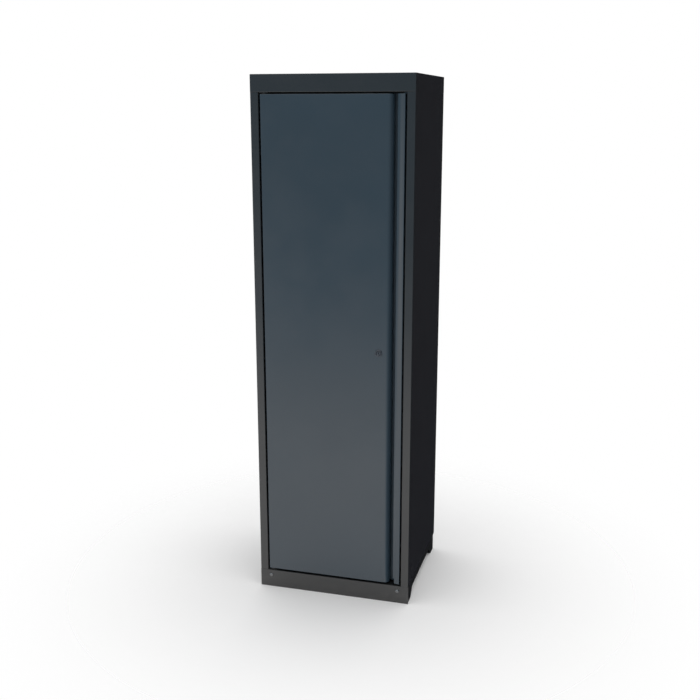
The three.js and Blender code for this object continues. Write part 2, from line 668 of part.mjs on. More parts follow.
// The plug, its cam with two drive pins, and the screw that holds the cam
function addLockPlug() {
  lockPlug.position.set(LOCK_X, FRONT, LOCK_HEIGHT);
  const face = PLUG_RECESS - FIT - LOCK_BEZEL_DEPTH;
  const camFront = CAM_Y - FRONT;
  const camRear = camFront + CAM_SHEET;
  const tail = [-PLUG_TAIL / 2, PLUG_TAIL / 2];
  const keywayX = [-KEYWAY_WIDTH / 2, KEYWAY_WIDTH / 2];
  const keywayZ = [-KEYWAY_HEIGHT / 2, KEYWAY_HEIGHT / 2];
  const plug = cut(
    join(lyingCylinder(PLUG_DIAMETER, [face, LOCK_LENGTH]), block(tail, [0, camRear], tail)),
    block(keywayX, [face - FIT, face + KEYWAY_DEPTH], keywayZ),
    lyingCylinder(CAM_SCREW + 2 * FIT, [camRear - CAM_SCREW_LENGTH - FIT, camRear + FIT]),
  );
  add(lockPlug, "lock_plug", plug, NICKEL);

  const outline = new THREE.Shape();
  outline.absarc(CAM_ARM, 0, CAM_WIDTH / 2, -Math.PI / 2, Math.PI / 2, false);
  outline.absarc(-CAM_ARM, 0, CAM_WIDTH / 2, Math.PI / 2, 1.5 * Math.PI, false);
  const pinSpan = [camFront, ROD_Y + ROD_SHEET + FIT - FRONT];
  const arms = join(
    frontPrism(outline, [camFront, camRear]),
    lyingCylinder(CAM_PIN, pinSpan).translate(CAM_ARM, 0, 0),
    lyingCylinder(CAM_PIN, pinSpan).translate(-CAM_ARM, 0, 0),
  ).rotateY(-CAM_REST);
  const hole = PLUG_TAIL / 2 + FIT;
  const cam = cut(arms, block([-hole, hole], [camFront - FIT, camRear + FIT], [-hole, hole]));
  add(lockPlug, "lock_cam", cam, ZINC);

  const seat = camRear + FIT;
  const camScrew = join(
    lyingCylinder(CAM_SCREW, [camRear - CAM_SCREW_LENGTH, seat + CAM_SCREW_HEAD_HEIGHT]),
    lyingCylinder(CAM_SCREW_HEAD, [seat, seat + CAM_SCREW_HEAD_HEIGHT]),
  );
  add(lockPlug, "lock_cam_screw", camScrew, ZINC);
}

// A flat rod whose yoke slot takes a drive pin: it runs up (+1) from the lock or down (-1)
function lockRod(direction) {
  const tip = direction > 0 ? DOOR_HIGH - ROD_TIP_INSET : DOOR_LOW + ROD_TIP_INSET;
  const pinZ = LOCK_HEIGHT - direction * PIN_OFFSET;
  const x = LOCK_X + direction * ROD_OFFSET;
  const slotHeight = CAM_PIN / 2 + YOKE_CLEARANCE;
  const slotWidth = (CAM_ARM - PIN_OFFSET) / 2 + CAM_PIN / 2 + RUN;
  const heel = pinZ - direction * (slotHeight + ROD_END);
  const ends = [tip, heel].sort((a, b) => a - b);
  const bar = block([x - ROD_WIDTH / 2, x + ROD_WIDTH / 2], [ROD_Y, ROD_Y + ROD_SHEET], ends);
  const slotY = [ROD_Y - FIT, ROD_Y + ROD_SHEET + FIT];
  return cut(bar, block([x - slotWidth, x + slotWidth], slotY, [pinZ - slotHeight, pinZ + slotHeight]));
}

// An angle on the door's inside that a rod slides through
function rodGuide(direction) {
  const x = LOCK_X + direction * ROD_OFFSET;
  const z = direction > 0 ? DOOR_HIGH - GUIDE_DISTANCE : DOOR_LOW + GUIDE_DISTANCE;
  const footX = [x - ROD_WIDTH / 2 - GUIDE_WALL, x + ROD_WIDTH / 2 - RUN];
  const shelfX = [footX[0], x + ROD_WIDTH / 2 + GUIDE_WALL];
  const shelfY = [DOOR_INSIDE + GUIDE_SHEET, ROD_Y + ROD_SHEET + RUN + GUIDE_SHEET];
  const shelfZ = [z, z + GUIDE_SHEET];
  const angle = join(
    block(footX, [DOOR_INSIDE, DOOR_INSIDE + GUIDE_SHEET], [z, z + GUIDE_FOOT]),
    block(footX, [DOOR_INSIDE, shelfY[0] + GUIDE_SHEET], shelfZ),
    block(shelfX, shelfY, shelfZ),
  );
  return cut(angle, rodSlot(x, [z - FIT, z + GUIDE_SHEET + FIT], RUN));
}

// Rubber buffers on the lock side's stop, and a magnetic catch on the upper stop
function addStops() {
  const buffer = lyingCylinder(BUFFER_DIAMETER, [DOOR_REAR + FIT, STOP_Y - FIT]);
  const span = DOOR_HIGH - DOOR_LOW - 2 * BUFFER_END_DISTANCE;
  ["lower", "middle", "upper"].forEach((name, i) => {
    const z = DOOR_LOW + BUFFER_END_DISTANCE + (span * i) / 2;
    add(carcass, `${name}_door_buffer`, buffer, RUBBER, [JAMB_X - STOP_LIP / 2, 0, z]);
  });
  const x = [CATCH_X, CATCH_X + CATCH_LENGTH];
  const z = [CAP_LOW - STOP_LIP, SHELL_HIGH];
  const housing = block(x, [DOOR_REAR + FIT + CATCH_POLE_RISE, STOP_Y - FIT], z);
  const poles = [-1, 1].map((side) => {
    const middle = CATCH_X + (CATCH_LENGTH + side * CATCH_POLE_SPACING) / 2;
    return block([middle - CATCH_POLE / 2, middle + CATCH_POLE / 2], [DOOR_REAR + FIT, STOP_Y - FIT], z);
  });
  add(carcass, "magnetic_catch", join(housing, ...poles), RUBBER);
}

addPair(carcass, "side_panel", sidePanel(), CARCASS_PAINT);
add(carcass, "back_panel", backPanel(), CARCASS_PAINT);
const cap = tray([-RIGHT, RIGHT], [FRONT, BACK], [CAP_LOW, HEIGHT], SEAM_FLANGE);
add(carcass, "top_cap", cap, CARCASS_PAINT);
addHeader();
add(carcass, "base_frame", baseFrame(), CARCASS_PAINT);
add(carcass, "kick_plate", kickPlate(), CARCASS_PAINT);
addKickFixings();
addShelving();
addPivots();
addStops();
add(door, "door_skin", doorSkin(), DOOR_PAINT);
add(door, "pull_rail", pullRail(), DOOR_PAINT);
add(door, "door_stiffener", doorStiffener(), DOOR_PAINT);
addLockBody();
addLockPlug();
add(door, "upper_lock_rod", lockRod(1), ZINC);
add(door, "lower_lock_rod", lockRod(-1), ZINC);
add(door, "upper_rod_guide", rodGuide(1), ZINC);
add(door, "lower_rod_guide", rodGuide(-1), ZINC);

export default locker;
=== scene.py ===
"""A tall steel tool locker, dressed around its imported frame. Metres, Z up, the door faces -Y."""

import math

import bmesh
import bpy
from bpy.props import FloatProperty, FloatVectorProperty, IntProperty, PointerProperty
from bpy.types import Operator, Panel, PropertyGroup
from mathutils import Matrix, Vector


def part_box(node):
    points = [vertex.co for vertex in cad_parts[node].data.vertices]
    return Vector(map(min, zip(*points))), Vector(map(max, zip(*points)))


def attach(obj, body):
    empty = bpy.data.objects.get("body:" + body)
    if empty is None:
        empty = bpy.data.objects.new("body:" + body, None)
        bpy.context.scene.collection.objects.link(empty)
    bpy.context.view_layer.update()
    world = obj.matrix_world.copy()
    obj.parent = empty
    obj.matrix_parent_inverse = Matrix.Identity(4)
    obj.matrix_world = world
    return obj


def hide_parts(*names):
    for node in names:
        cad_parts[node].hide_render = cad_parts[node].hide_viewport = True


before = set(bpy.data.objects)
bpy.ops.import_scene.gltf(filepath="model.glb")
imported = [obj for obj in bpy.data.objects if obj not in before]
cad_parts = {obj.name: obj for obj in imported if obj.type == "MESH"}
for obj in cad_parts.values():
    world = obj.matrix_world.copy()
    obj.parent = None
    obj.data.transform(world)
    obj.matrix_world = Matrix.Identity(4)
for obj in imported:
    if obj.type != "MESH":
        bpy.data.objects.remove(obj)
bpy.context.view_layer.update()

bl_info = {
    "name": "Steel Tool Locker",
    "version": (1, 0, 0),
    "blender": (4, 5, 0),
    "location": "3D View > Sidebar > Locker",
    "description": "Builds the folded panels, fixings, lock and studio of a tall steel tool locker",
    "category": "Object",
}

CARCASS = ("carcass_paint", "carcass")  # slot and body of the cabinet's painted pieces
DOOR = ("door_paint", "door")  # slot and body of the door's painted pieces
CLOSE = 0.00002  # between edges that are welded together
TOUCH = 0.0003  # between pieces that lie on each other
PLAY = 0.0006  # round a piece that turns or slides in another
PAST = 0.001  # how far a cutting tool reaches past what it cuts
SAME = 0.00001  # places this close are the same
SHARP = math.radians(40)  # edges that turn further than this are rounded
BUSH_BODY = 10 / 13  # a bush's body as a share of its flange
BUSH_HOLE = 10.6 / 13  # the hole that the body sits in, as a share of the flange
DOWN = Vector((0, 0, -1))
REARWARD = Vector((0, 1, 0))

# Planes of the frame that several pieces share
STOP_X, FRONT, SHELL_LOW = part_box("right_side_panel")[0]
RIGHT, BACK, SHELL_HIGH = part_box("right_side_panel")[1]
CAP_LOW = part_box("top_cap")[0].z
BASE_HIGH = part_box("base_frame")[1].z
HEADER_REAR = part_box("door_header")[1].y
DOOR_LEFT, _, DOOR_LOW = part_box("door_skin")[0]
GROOVE_EDGE, DOOR_REAR, DOOR_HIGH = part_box("door_skin")[1]
STRIP_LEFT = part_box("pull_rail")[0].x
DOOR_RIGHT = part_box("pull_rail")[1].x


# Kinds of property that the groups below share


def length(name, description, default):
    return FloatProperty(
        name=name, description=description, default=default, min=0.0, precision=5, unit="LENGTH"
    )


def turn_by(name, description, degrees):
    return FloatProperty(name=name, description=description, default=math.radians(degrees), unit="ROTATION")


def amount(name, description, default, unit="NONE"):
    return FloatProperty(name=name, description=description, default=default, min=0.0, unit=unit)


def share(name, description, default):
    return FloatProperty(
        name=name, description=description, default=default, min=0.0, max=1.0, subtype="FACTOR"
    )


def tint(name, description, default):
    return FloatVectorProperty(
        name=name, description=description, default=default, min=0.0, max=1.0, size=3, subtype="COLOR"
    )


class LockerSizes(PropertyGroup):
    """Sizes of the sheet metal and its details"""

    sheet: length("Sheet", "Thickness of the folded steel", 0.001)
    bend: length("Bend", "Outer radius of the folds", 0.002)
    cap_bend: length("Cap Bend", "Outer radius of the cap's folds", 0.0012)
    eased: length("Eased Edge", "Rounding of cut edges", 0.0003)
    corner: length("Corner", "Radius of the corners of clips and pivot plates", 0.003)
    kick_edge: length("Kick Edge", "Rounding of the kick plate's upper edge", 0.0007)
    stile: length("Stile", "Width of the frame beside the door", 0.0234)
    seam_flange: length("Seam Flange", "Turned-in edge where two panels are welded", 0.015)
    rear_flange: length("Rear Flange", "Turned-in rear edge of a side panel", 0.018)
    shelf_return: length("Shelf Return", "Turned-in lower edge of a shelf", 0.012)
    door_lip: length("Door Lip", "Turned-in rear edge of the door", 0.015)
    groove_bend: length("Groove Bend", "Radius of the door's bend into the pull groove", 0.017)
    groove_mouth: length("Groove Mouth", "From the door's flat face to the rolled strip", 0.026)
    groove_tab: length("Groove Tab", "Edge of the groove that the strip is welded to", 0.010)
    strip_depth: length("Strip Depth", "From the door's face to the back of the rolled nose", 0.017)
    strip_roll: length("Strip Roll", "Radius of the strip's rolled nose", 0.0032)
    strip_hem: length("Strip Hem", "Edge turned in behind the strip's nose", 0.0056)
    strip_edge: length("Strip Edge", "Radius of the strip's outer edge", 0.0012)
    strip_lean: turn_by("Strip Lean", "How far the strip's front leans back towards the groove", 15)
    strip_crown: turn_by("Strip Crown", "How far the strip's front turns across its width", 14)
    strip_notch: length("Strip Notch", "Length of the roll cut away at the strip's foot", 0.016)
    stiffener_flange: length("Stiffener Flange", "Welded edges of the door's stiffener", 0.014)
    upright_sheet: length("Upright Sheet", "Thickness of the slotted uprights", 0.0012)
    slot_width: length("Slot Width", "Width of an upright's slot", 0.0132)
    slot_height: length("Slot Height", "Height of an upright's slot", 0.0027)
    slot_pitch: length("Slot Pitch", "Between the uprights' slots", 0.05)
    slot_start: length("Slot Start", "Lowest slot above the foot of an upright", 0.045)
    slot_count: IntProperty(name="Slots", description="Slots in an upright", default=27, min=1)
    weld: length("Spot Weld", "Diameter of a spot weld's mark", 0.0056)
    weld_pitch: length("Weld Pitch", "Between spot welds", 0.1)
    lock_hole: length("Lock Hole", "Radius of the hole for the lock", 0.0088)
    keyway: length("Keyway", "Width of the key slot", 0.002)
    rod_tip: length("Rod Tip", "Rounding of the lock rods' tips", 0.004)


class LockerFinishes(PropertyGroup):
    """Colours of the paint, plating and plastics, and how rough they are"""

    carcass: tint("Carcass", "Charcoal powder coat of the cabinet", (0.0118, 0.0118, 0.0122))
    door: tint("Door", "Slate powder coat of the door", (0.0185, 0.033, 0.047))
    # Groove: a lighter copy of the door's slate coat. The lighter tone is painted light in the shaded pull
    # groove.
    groove: tint("Groove", "Slate coat where it lies thin in the groove", (0.03, 0.05, 0.068))
    dust: tint("Dust", "Dust on the paint near the floor", (0.35, 0.33, 0.30))
    zinc: tint("Zinc", "Zinc plating of rods, clips and nuts", (0.60, 0.61, 0.60))
    steel: tint("Dark Steel", "Dark heads of the kick plate's screws", (0.3, 0.3, 0.305))
    lock: tint("Lock", "Black nickel of the key lock", (0.128, 0.136, 0.153))
    nylon: tint("Nylon", "Black nylon of the bushes", (0.020, 0.020, 0.021))
    rubber: tint("Rubber", "Black rubber of the buffers", (0.017, 0.017, 0.018))
    plastic: tint("Plastic", "Black plastic of the catch", (0.022, 0.022, 0.024))
    coat_roughness: share("Coat Roughness", "Roughness of the powder coat", 0.22)
    thin_roughness: share("Thin Coat Roughness", "Roughness of the thin coat in recesses", 0.6)


class LockerStudio(PropertyGroup):
    """Camera, floor and light"""

    camera: FloatVectorProperty(
        name="Camera", description="Where the camera stands", default=(0.7628, -2.7341, 1.4098), subtype="XYZ"
    )
    azimuth: turn_by("Azimuth", "How far round to the right the camera stands", 15.66)
    elevation: turn_by("Elevation", "How far down the camera looks", 13.94)
    lens: amount("Lens", "Focal length", 50.0, "CAMERA")
    floor: tint("Floor", "Pale floor", (0.98, 0.98, 0.98))
    floor_whole: length("Whole Floor", "Radius where the floor starts to fade", 0.28)
    floor_radius: length("Floor Radius", "Where the floor has faded into the background", 1.16)
    mirror_whole: length("Whole Mirrored Floor", "Where the floor that paint mirrors starts to fade", 0.66)
    mirror_radius: length("Mirrored Floor Radius", "Where the floor that paint mirrors has faded", 2.2)
    sky: amount("Sky", "Strength of the even light from all round", 0.88)
    room: tint("Room", "Dim room that glossy paint mirrors at eye level", (0.21, 0.31, 0.39))
    ceiling: tint("Ceiling", "What glossy paint mirrors high up", (0.8, 0.8, 0.8))
    dark: tint("Dark", "What glossy paint mirrors on the dark sides", (0.024, 0.025, 0.031))
    bright_side: turn_by("Bright Side", "Where the mirrored floor reaches up highest", -32)
    dark_side: turn_by("Dark Side", "Where the mirrored room is dark", 90)
    key_power: amount("Key", "Power of the overhead lamp", 17.0, "POWER")
    key_size: length("Key Size", "Diameter of the overhead lamp", 2.6)


# Node trees

SOCKET_KINDS = {float: "NodeSocketFloat", int: "NodeSocketInt", tuple: "NodeSocketVector"}


def add_node(tree, kind, inputs=(), **settings):
    """A node with its settings, and its inputs linked or given a value, by name or number."""
    node = tree.nodes.new(kind)
    for setting, value in settings.items():
        setattr(node, setting, value)
    for socket, value in dict(inputs).items():
        if isinstance(value, bpy.types.NodeSocket):
            tree.links.new(value, node.inputs[socket])
        else:
            node.inputs[socket].default_value = value
    return node


def new_group(name, kind, inputs, outputs):
    """An empty node group. Each socket's name comes with its default value, or with its kind."""
    tree = bpy.data.node_groups.new(name, kind)
    for direction, sockets in (("INPUT", inputs), ("OUTPUT", outputs)):
        for socket, given in sockets.items():
            has_default = type(given) in SOCKET_KINDS
            socket_kind = SOCKET_KINDS[type(given)] if has_default else given
            made = tree.interface.new_socket(socket, in_out=direction, socket_type=socket_kind)
            if has_default:
                made.default_value = given
    return tree, tree.nodes.new("NodeGroupInput").outputs, tree.nodes.new("NodeGroupOutput")


def putting_out(tree, result, **values):
    """A node group with values linked to its outputs."""
    for socket, value in values.items():
        tree.links.new(value, result.inputs[socket])
    return tree


def shared(build):
    """A node group that is built once and then found by its name."""
    return bpy.data.node_groups.get(build.__name__) or build()


def calculate(tree, operation, *values):
    return add_node(tree, "ShaderNodeMath", dict(enumerate(values)), operation=operation).outputs[0]


def multiply_vectors(tree, first, second):
    return add_node(tree, "ShaderNodeVectorMath", {0: first, 1: second}, operation="MULTIPLY").outputs[0]


def ramp(tree, value, start, end, low=0.0, high=1.0):
    """A value carried smoothly from one range to another."""
    inputs = {"Value": value, "From Min": start, "From Max": end, "To Min": low, "To Max": high}
    return add_node(tree, "ShaderNodeMapRange", inputs, interpolation_type="SMOOTHSTEP").outputs["Result"]


def blend_colour(tree, factor, first, second):
    return add_node(tree, "ShaderNodeMix", {0: factor, 6: first, 7: second}, data_type="RGBA").outputs[2]


def noise(tree, vector, scale, detail=2.0, roughness=0.5):
    inputs = {"Vector": vector, "Scale": scale, "Detail": detail, "Roughness": roughness}
    return add_node(tree, "ShaderNodeTexNoise", inputs).outputs["Fac"]


# Effects that several finishes share


def texture_group(name, inputs, *more):
    """An empty shader group that reads a place and puts out height, tone, gloss and any more values."""
    outputs = dict.fromkeys(("Height", "Tone", "Gloss", *more), "NodeSocketFloat")
    return new_group(name, "ShaderNodeTree", {"Vector": "NodeSocketVector", **inputs}, outputs)


def coat_texture():
    """Powder coat: a fine orange peel, slow changes of tone and gloss, and dust near the floor."""
    tree, given, result = texture_group("coat_texture", {"Peel": 420.0, "Grain": 2600.0}, "Dust")
    place = given["Vector"]
    peel = noise(tree, place, given["Peel"], detail=1.0)
    height = calculate(tree, "MULTIPLY_ADD", noise(tree, place, given["Grain"]), 0.25, peel)
    tone = ramp(tree, noise(tree, place, 2.3, detail=3.0), 0.25, 0.75, 0.93, 1.07)
    gloss = ramp(tree, noise(tree, place, 9.0, detail=4.0, roughness=0.6), 0.3, 0.7, -0.03, 0.03)
    above_floor = add_node(tree, "ShaderNodeSeparateXYZ", {0: place}).outputs["Z"]
    specks = ramp(tree, noise(tree, place, 60.0, detail=5.0), 0.4, 0.75)
    dust = calculate(tree, "MULTIPLY", ramp(tree, above_floor, 0.07, 0.0), specks)
    return putting_out(tree, result, Height=height, Tone=tone, Gloss=gloss, Dust=dust)


def plating_texture():
    """Plated or bright metal: drawn lines along one way, blotches of tone, and scattered dull spots."""
    tree, given, result = texture_group("plating_texture", {"Stretch": (1.0, 1.0, 0.04)})
    place = given["Vector"]
    lines = noise(tree, multiply_vectors(tree, place, given["Stretch"]), 2400.0)
    blotches = noise(tree, place, 130.0, detail=4.0)
    tone = ramp(tree, blotches, 0.3, 0.7, 0.86, 1.06)
    dull = ramp(tree, blotches, 0.35, 0.7, 0.07, -0.05)
    gloss = calculate(tree, "ADD", dull, ramp(tree, lines, 0.3, 0.7, 0.0, 0.06))
    return putting_out(tree, result, Height=lines, Tone=tone, Gloss=gloss)


def moulded_texture():
    """Moulded nylon, rubber and plastic: a fine pebble and soft marks."""
    tree, given, result = texture_group("moulded_texture", {"Pebble": 1500.0})
    place = given["Vector"]
    pebble = noise(tree, place, given["Pebble"], detail=1.0)
    marks = noise(tree, place, 90.0, detail=4.0)
    tone = ramp(tree, marks, 0.3, 0.7, 0.9, 1.08)
    gloss = ramp(tree, marks, 0.3, 0.7, -0.05, 0.07)
    return putting_out(tree, result, Height=pebble, Tone=tone, Gloss=gloss)


# Finishes


def new_material(name):
    """A material, its node tree, its base shader and the place that textures read."""
    material = bpy.data.materials.new(name)
    material.use_nodes = True
    tree = material.node_tree
    place = add_node(tree, "ShaderNodeTexCoord").outputs["Object"]
    return material, tree, tree.nodes["Principled BSDF"], place


def finish(texture, name, colour, roughness, bump, inputs=(), **sockets):
    """A material: a base shader whose colour, roughness and normal follow one of the textures."""
    if name in bpy.data.materials:
        return bpy.data.materials[name]
    material, tree, shader, place = new_material(name)
    inputs = {"Vector": place, **dict(inputs)}
    detail = add_node(tree, "ShaderNodeGroup", inputs, node_tree=shared(texture))
    toned = multiply_vectors(tree, colour, detail.outputs["Tone"])
    if "Dust" in detail.outputs:
        dust = calculate(tree, "MULTIPLY", detail.outputs["Dust"], 0.05)
        toned = blend_colour(tree, dust, toned, (*bpy.context.scene.locker_finishes.dust, 1.0))
    tree.links.new(toned, shader.inputs["Base Color"])
    tree.links.new(calculate(tree, "ADD", detail.outputs["Gloss"], roughness), shader.inputs["Roughness"])
    relief = {"Strength": bump, "Distance": 0.0002, "Height": detail.outputs["Height"]}
    tree.links.new(add_node(tree, "ShaderNodeBump", relief).outputs["Normal"], shader.inputs["Normal"])
    for socket, value in sockets.items():
        shader.inputs[socket.replace("_", " ")].default_value = value
    return material


def finish_of(slot, recessed=False):
    """The material of one of the record's slots. Powder coat lies thin and dull in a recess; the door's coat
    there also takes a lighter tone, which is painted light in the shaded groove.
    """
    tones = bpy.context.scene.locker_finishes
    coats = {
        ("carcass_paint", False): ("charcoal_coat", tones.carcass),
        ("carcass_paint", True): ("thin_charcoal_coat", tones.carcass),
        ("door_paint", False): ("slate_coat", tones.door),
        # The door's recessed coat takes the lighter groove tint: painted light in the groove
        ("door_paint", True): ("thin_slate_coat", tones.groove),
    }
    metals = {
        "zinc": ("zinc_plate", tones.zinc, 0.36, 0.06),
        "dark_steel": ("black_steel", tones.steel, 0.24, 0.04),
        "lock_nickel": ("black_nickel", tones.lock, 0.2, 0.02),
    }
    mouldings = {
        "nylon": ("black_nylon", tones.nylon, 0.48, 0.1),
        "rubber": ("black_rubber", tones.rubber, 0.72, 0.3, {"Pebble": 900.0}),
        "black_plastic": ("moulded_plastic", tones.plastic, 0.45, 0.2),
    }
    if slot in metals:
        return finish(plating_texture, *metals[slot], Metallic=1.0)
    if slot in mouldings:
        return finish(moulded_texture, *mouldings[slot])
    roughness, specular = (tones.thin_roughness, 0.5) if recessed else (tones.coat_roughness, 1.0)
    return finish(coat_texture, *coats[slot, recessed], roughness, 0.35, Specular_IOR_Level=specular)


# Meshes


def turn_of(axis):
    """Takes a point of an outline and a distance along an axis to a place in space."""
    return {"Y": lambda u, v, along: (u, along, v), "Z": lambda u, v, along: (u, v, along)}[axis]


def arc(turn, steps):
    """Angles from nothing to a turn, in even steps."""
    return [turn * step / steps for step in range(steps + 1)]


def quarter_round(centre, radii, steps):
    """A quarter of an ellipse, from in front of its centre to beside it."""
    angles = arc(math.pi / 2, steps)
    return [(centre[0] + radii[0] * math.sin(a), centre[1] - radii[1] * math.cos(a)) for a in angles]


def prism(outline, ends, axis):
    """A closed outline drawn out along an axis between two ends."""
    bm = bmesh.new()
    place = turn_of(axis)
    low, high = ([bm.verts.new(place(u, v, end)) for u, v in outline] for end in ends)
    bm.faces.new(low)
    bm.faces.new(high)
    for i, corner in enumerate(low):
        bm.faces.new((low[i - 1], corner, high[i], high[i - 1]))
    bmesh.ops.recalc_face_normals(bm, faces=bm.faces)
    return bm


def box(low, high):
    """A block between two corners."""
    outline = [(low[0], low[1]), (high[0], low[1]), (high[0], high[1]), (low[0], high[1])]
    return prism(outline, (low[2], high[2]), "Z")


def bent_line(corners, bend, sheet, steps=5):
    """A fold line with the metal on its left, each corner rounded by the bend or by a radius of its own."""
    points = [Vector(corners[0][:2])]
    for before, here, after in zip(corners, corners[1:], corners[2:]):
        here_2d = Vector(here[:2])
        into = (here_2d - Vector(before[:2])).normalized()
        out = (Vector(after[:2]) - here_2d).normalized()
        angle = into.angle_signed(out)
        side = 1 if angle < 0 else -1
        radius = here[2] if len(here) > 2 else bend - (0 if side > 0 else sheet)
        start = here_2d - into * radius * math.tan(abs(angle) / 2)
        centre = start + Vector((-into.y, into.x)) * radius * side
        turns = steps * (3 if len(here) > 2 else 1)
        for step in range(turns + 1):
            points.append(centre + Matrix.Rotation(-angle * step / turns, 2) @ (start - centre))
    points.append(Vector(corners[-1][:2]))
    return [point for i, point in enumerate(points) if i == 0 or (point - points[i - 1]).length > 1e-7]


def sheet_outline(line, sheet):
    """A fold line and the sheet's other face, as one closed outline."""
    other = []
    last = len(line) - 1
    for i, point in enumerate(line):
        before = (line[max(i, 1)] - line[max(i - 1, 0)]).normalized()
        after = (line[min(i + 1, last)] - line[min(i, last - 1)]).normalized()
        mitre = Vector((-before.y - after.y, before.x + after.x)) / (1 + before.dot(after))
        other.append(point + mitre * sheet)
    return line + other[::-1]


def folded(corners, ends, sizes, sheet=None):
    """A folded sheet that stands upright, as a closed solid."""
    sheet = sheet or sizes.sheet
    line = bent_line(corners, sizes.bend, sheet)
    return prism(sheet_outline(line, sheet), ends, "Z")


def turned(profile, axis, steps=40):
    """A closed solid turned about an axis from points of (radius, distance along the axis)."""
    bm = bmesh.new()
    place = turn_of(axis)
    rings = []
    for radius, along in profile:
        count = steps if radius > 0 else 1
        angles = [2 * math.pi * i / count for i in range(count)]
        rings.append([bm.verts.new(place(radius * math.cos(a), radius * math.sin(a), along)) for a in angles])
    pairs = list(zip(rings, rings[1:]))
    if profile[0][0] > 0:
        pairs.append((rings[-1], rings[0]))
    for first, second in pairs:
        for i in range(steps):
            corners = (first[(i - 1) % len(first)], first[i % len(first)])
            corners += (second[i % len(second)], second[(i - 1) % len(second)])
            bm.faces.new(dict.fromkeys(corners))
    bmesh.ops.recalc_face_normals(bm, faces=bm.faces)
    return bm


def round_plug(radius, ends, axis):
    """A plain round plug about an axis."""
    return turned([(0.0, ends[0]), (radius, ends[0]), (radius, ends[1]), (0.0, ends[1])], axis)


def moved(bm, offset):
    bmesh.ops.translate(bm, verts=bm.verts, vec=offset)
    return bm


def mirrored(bm):
    """A copy on the other side of the cabinet, with its faces turned the right way round."""
    copy = bm.copy()
    bmesh.ops.scale(copy, verts=copy.verts, vec=(-1, 1, 1))
    bmesh.ops.reverse_faces(copy, faces=copy.faces)
    return copy


def gathered(*parts):
    """Several meshes as one."""
    whole = bmesh.new()
    for part in parts:
        mesh = bpy.data.meshes.new("part")
        part.to_mesh(mesh)
        part.free()
        whole.from_mesh(mesh)
        bpy.data.meshes.remove(mesh)
    return whole


def sharp_edges(bm):
    return [edge for edge in bm.edges if len(edge.link_faces) == 2 and edge.calc_face_angle(0) > SHARP]


def edges_at(bm, along, across, *places):
    """Edges that run along one axis, at given places on another."""
    found = []
    for edge in bm.edges:
        start, end = (corner.co for corner in edge.verts)
        way = end - start
        setattr(way, along, 0.0)
        if way.length < 1e-6 and min(abs(getattr(start, across) - place) for place in places) < SAME:
            found.append(edge)
    return found


def rounded(bm, edges, radius, segments):
    bmesh.ops.bevel(
        bm, geom=edges, offset=radius, offset_type="OFFSET", segments=segments, profile=0.5, affect="EDGES",
        clamp_overlap=True,
    )
    return bm


def new_object(name, bm):
    mesh = bpy.data.meshes.new(name)
    bm.to_mesh(mesh)
    bm.free()
    piece = bpy.data.objects.new(name, mesh)
    bpy.context.scene.collection.objects.link(piece)
    return piece


def removed(piece):
    """The mesh of a scratch object, which is deleted."""
    bm = bmesh.new()
    bm.from_mesh(piece.data)
    mesh = piece.data
    bpy.data.objects.remove(piece)
    bpy.data.meshes.remove(mesh)
    return bm


def add_modifier(piece, kind, **settings):
    modifier = piece.modifiers.new(kind, kind)
    for setting, value in settings.items():
        setattr(modifier, setting, value)
    return modifier


def baked(piece):
    """A piece with its modifiers turned into its mesh."""
    bpy.context.view_layer.update()
    shown = piece.evaluated_get(bpy.context.evaluated_depsgraph_get())
    rough = piece.data
    piece.data = bpy.data.meshes.new_from_object(shown)
    piece.modifiers.clear()
    bpy.data.meshes.remove(rough)
    piece.data.name = piece.name
    return piece


def modified(bm, kind, **settings):
    """A mesh taken through one modifier."""
    piece = new_object("scratch", bm)
    add_modifier(piece, kind, **settings)
    return removed(baked(piece))


def combined(bm, operation, others):
    """A closed solid that others are cut out of or joined to."""
    tool = new_object("tool", gathered(*others))
    whole = modified(bm, "BOOLEAN", operation=operation, solver="EXACT", use_self=True, object=tool)
    removed(tool).free()
    return whole


def cut(bm, *tools):
    return combined(bm, "DIFFERENCE", tools)


def joined(bm, *others):
    return combined(bm, "UNION", others)


def pan(bm, way, turn_in, bend, sheet):
    """A closed form made a pan of one sheet: the face furthest one way is opened up to a turned-in edge."""
    face = max(bm.faces, key=lambda side: side.calc_center_median().dot(way))
    bmesh.ops.inset_region(bm, faces=[face], thickness=turn_in, use_even_offset=True)
    bmesh.ops.delete(bm, geom=[face], context="FACES_ONLY")
    rounded(bm, sharp_edges(bm), bend, 4)
    return modified(bm, "SOLIDIFY", thickness=sheet, offset=-1.0, use_even_offset=True)


def middle_of(node, axis=None):
    """The middle of a node, set back to the origin along its axis if one is given."""
    low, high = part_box(node)
    middle = (low + high) / 2
    if axis:
        setattr(middle, axis, 0.0)
    return middle


def radius_of(node):
    """Half the width of a round node."""
    low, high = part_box(node)
    return (high.x - low.x) / 2


def solid_of(node):
    """A copy of a frame node's solid, with its triangles joined into whole faces."""
    bm = bmesh.new()
    bm.from_mesh(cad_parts[node].data)
    bmesh.ops.remove_doubles(bm, verts=bm.verts, dist=1e-6)
    bmesh.ops.dissolve_limit(bm, angle_limit=math.radians(1), verts=bm.verts, edges=bm.edges)
    return bm


def finished(name, bm, slot, body, *nodes, eased=True, recessed=False):
    """A finished piece, in place of the nodes given or of the node that it is named after."""
    piece = new_object(name, bm)
    piece.data.shade_smooth()
    if eased:
        width = bpy.context.scene.locker_sizes.eased
        add_modifier(piece, "BEVEL", width=width, segments=2, limit_method="ANGLE", angle_limit=SHARP)
    else:
        piece.data.set_sharp_from_angle(angle=math.radians(35))
    add_modifier(piece, "WELD", merge_threshold=1e-6)
    add_modifier(piece, "WEIGHTED_NORMAL", weight=90, keep_sharp=True)
    baked(piece)
    piece.data.materials.clear()
    piece.data.materials.append(finish_of(slot, recessed))
    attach(piece, body)
    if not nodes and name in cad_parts:
        nodes = (name,)
    if nodes:
        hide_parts(*nodes)


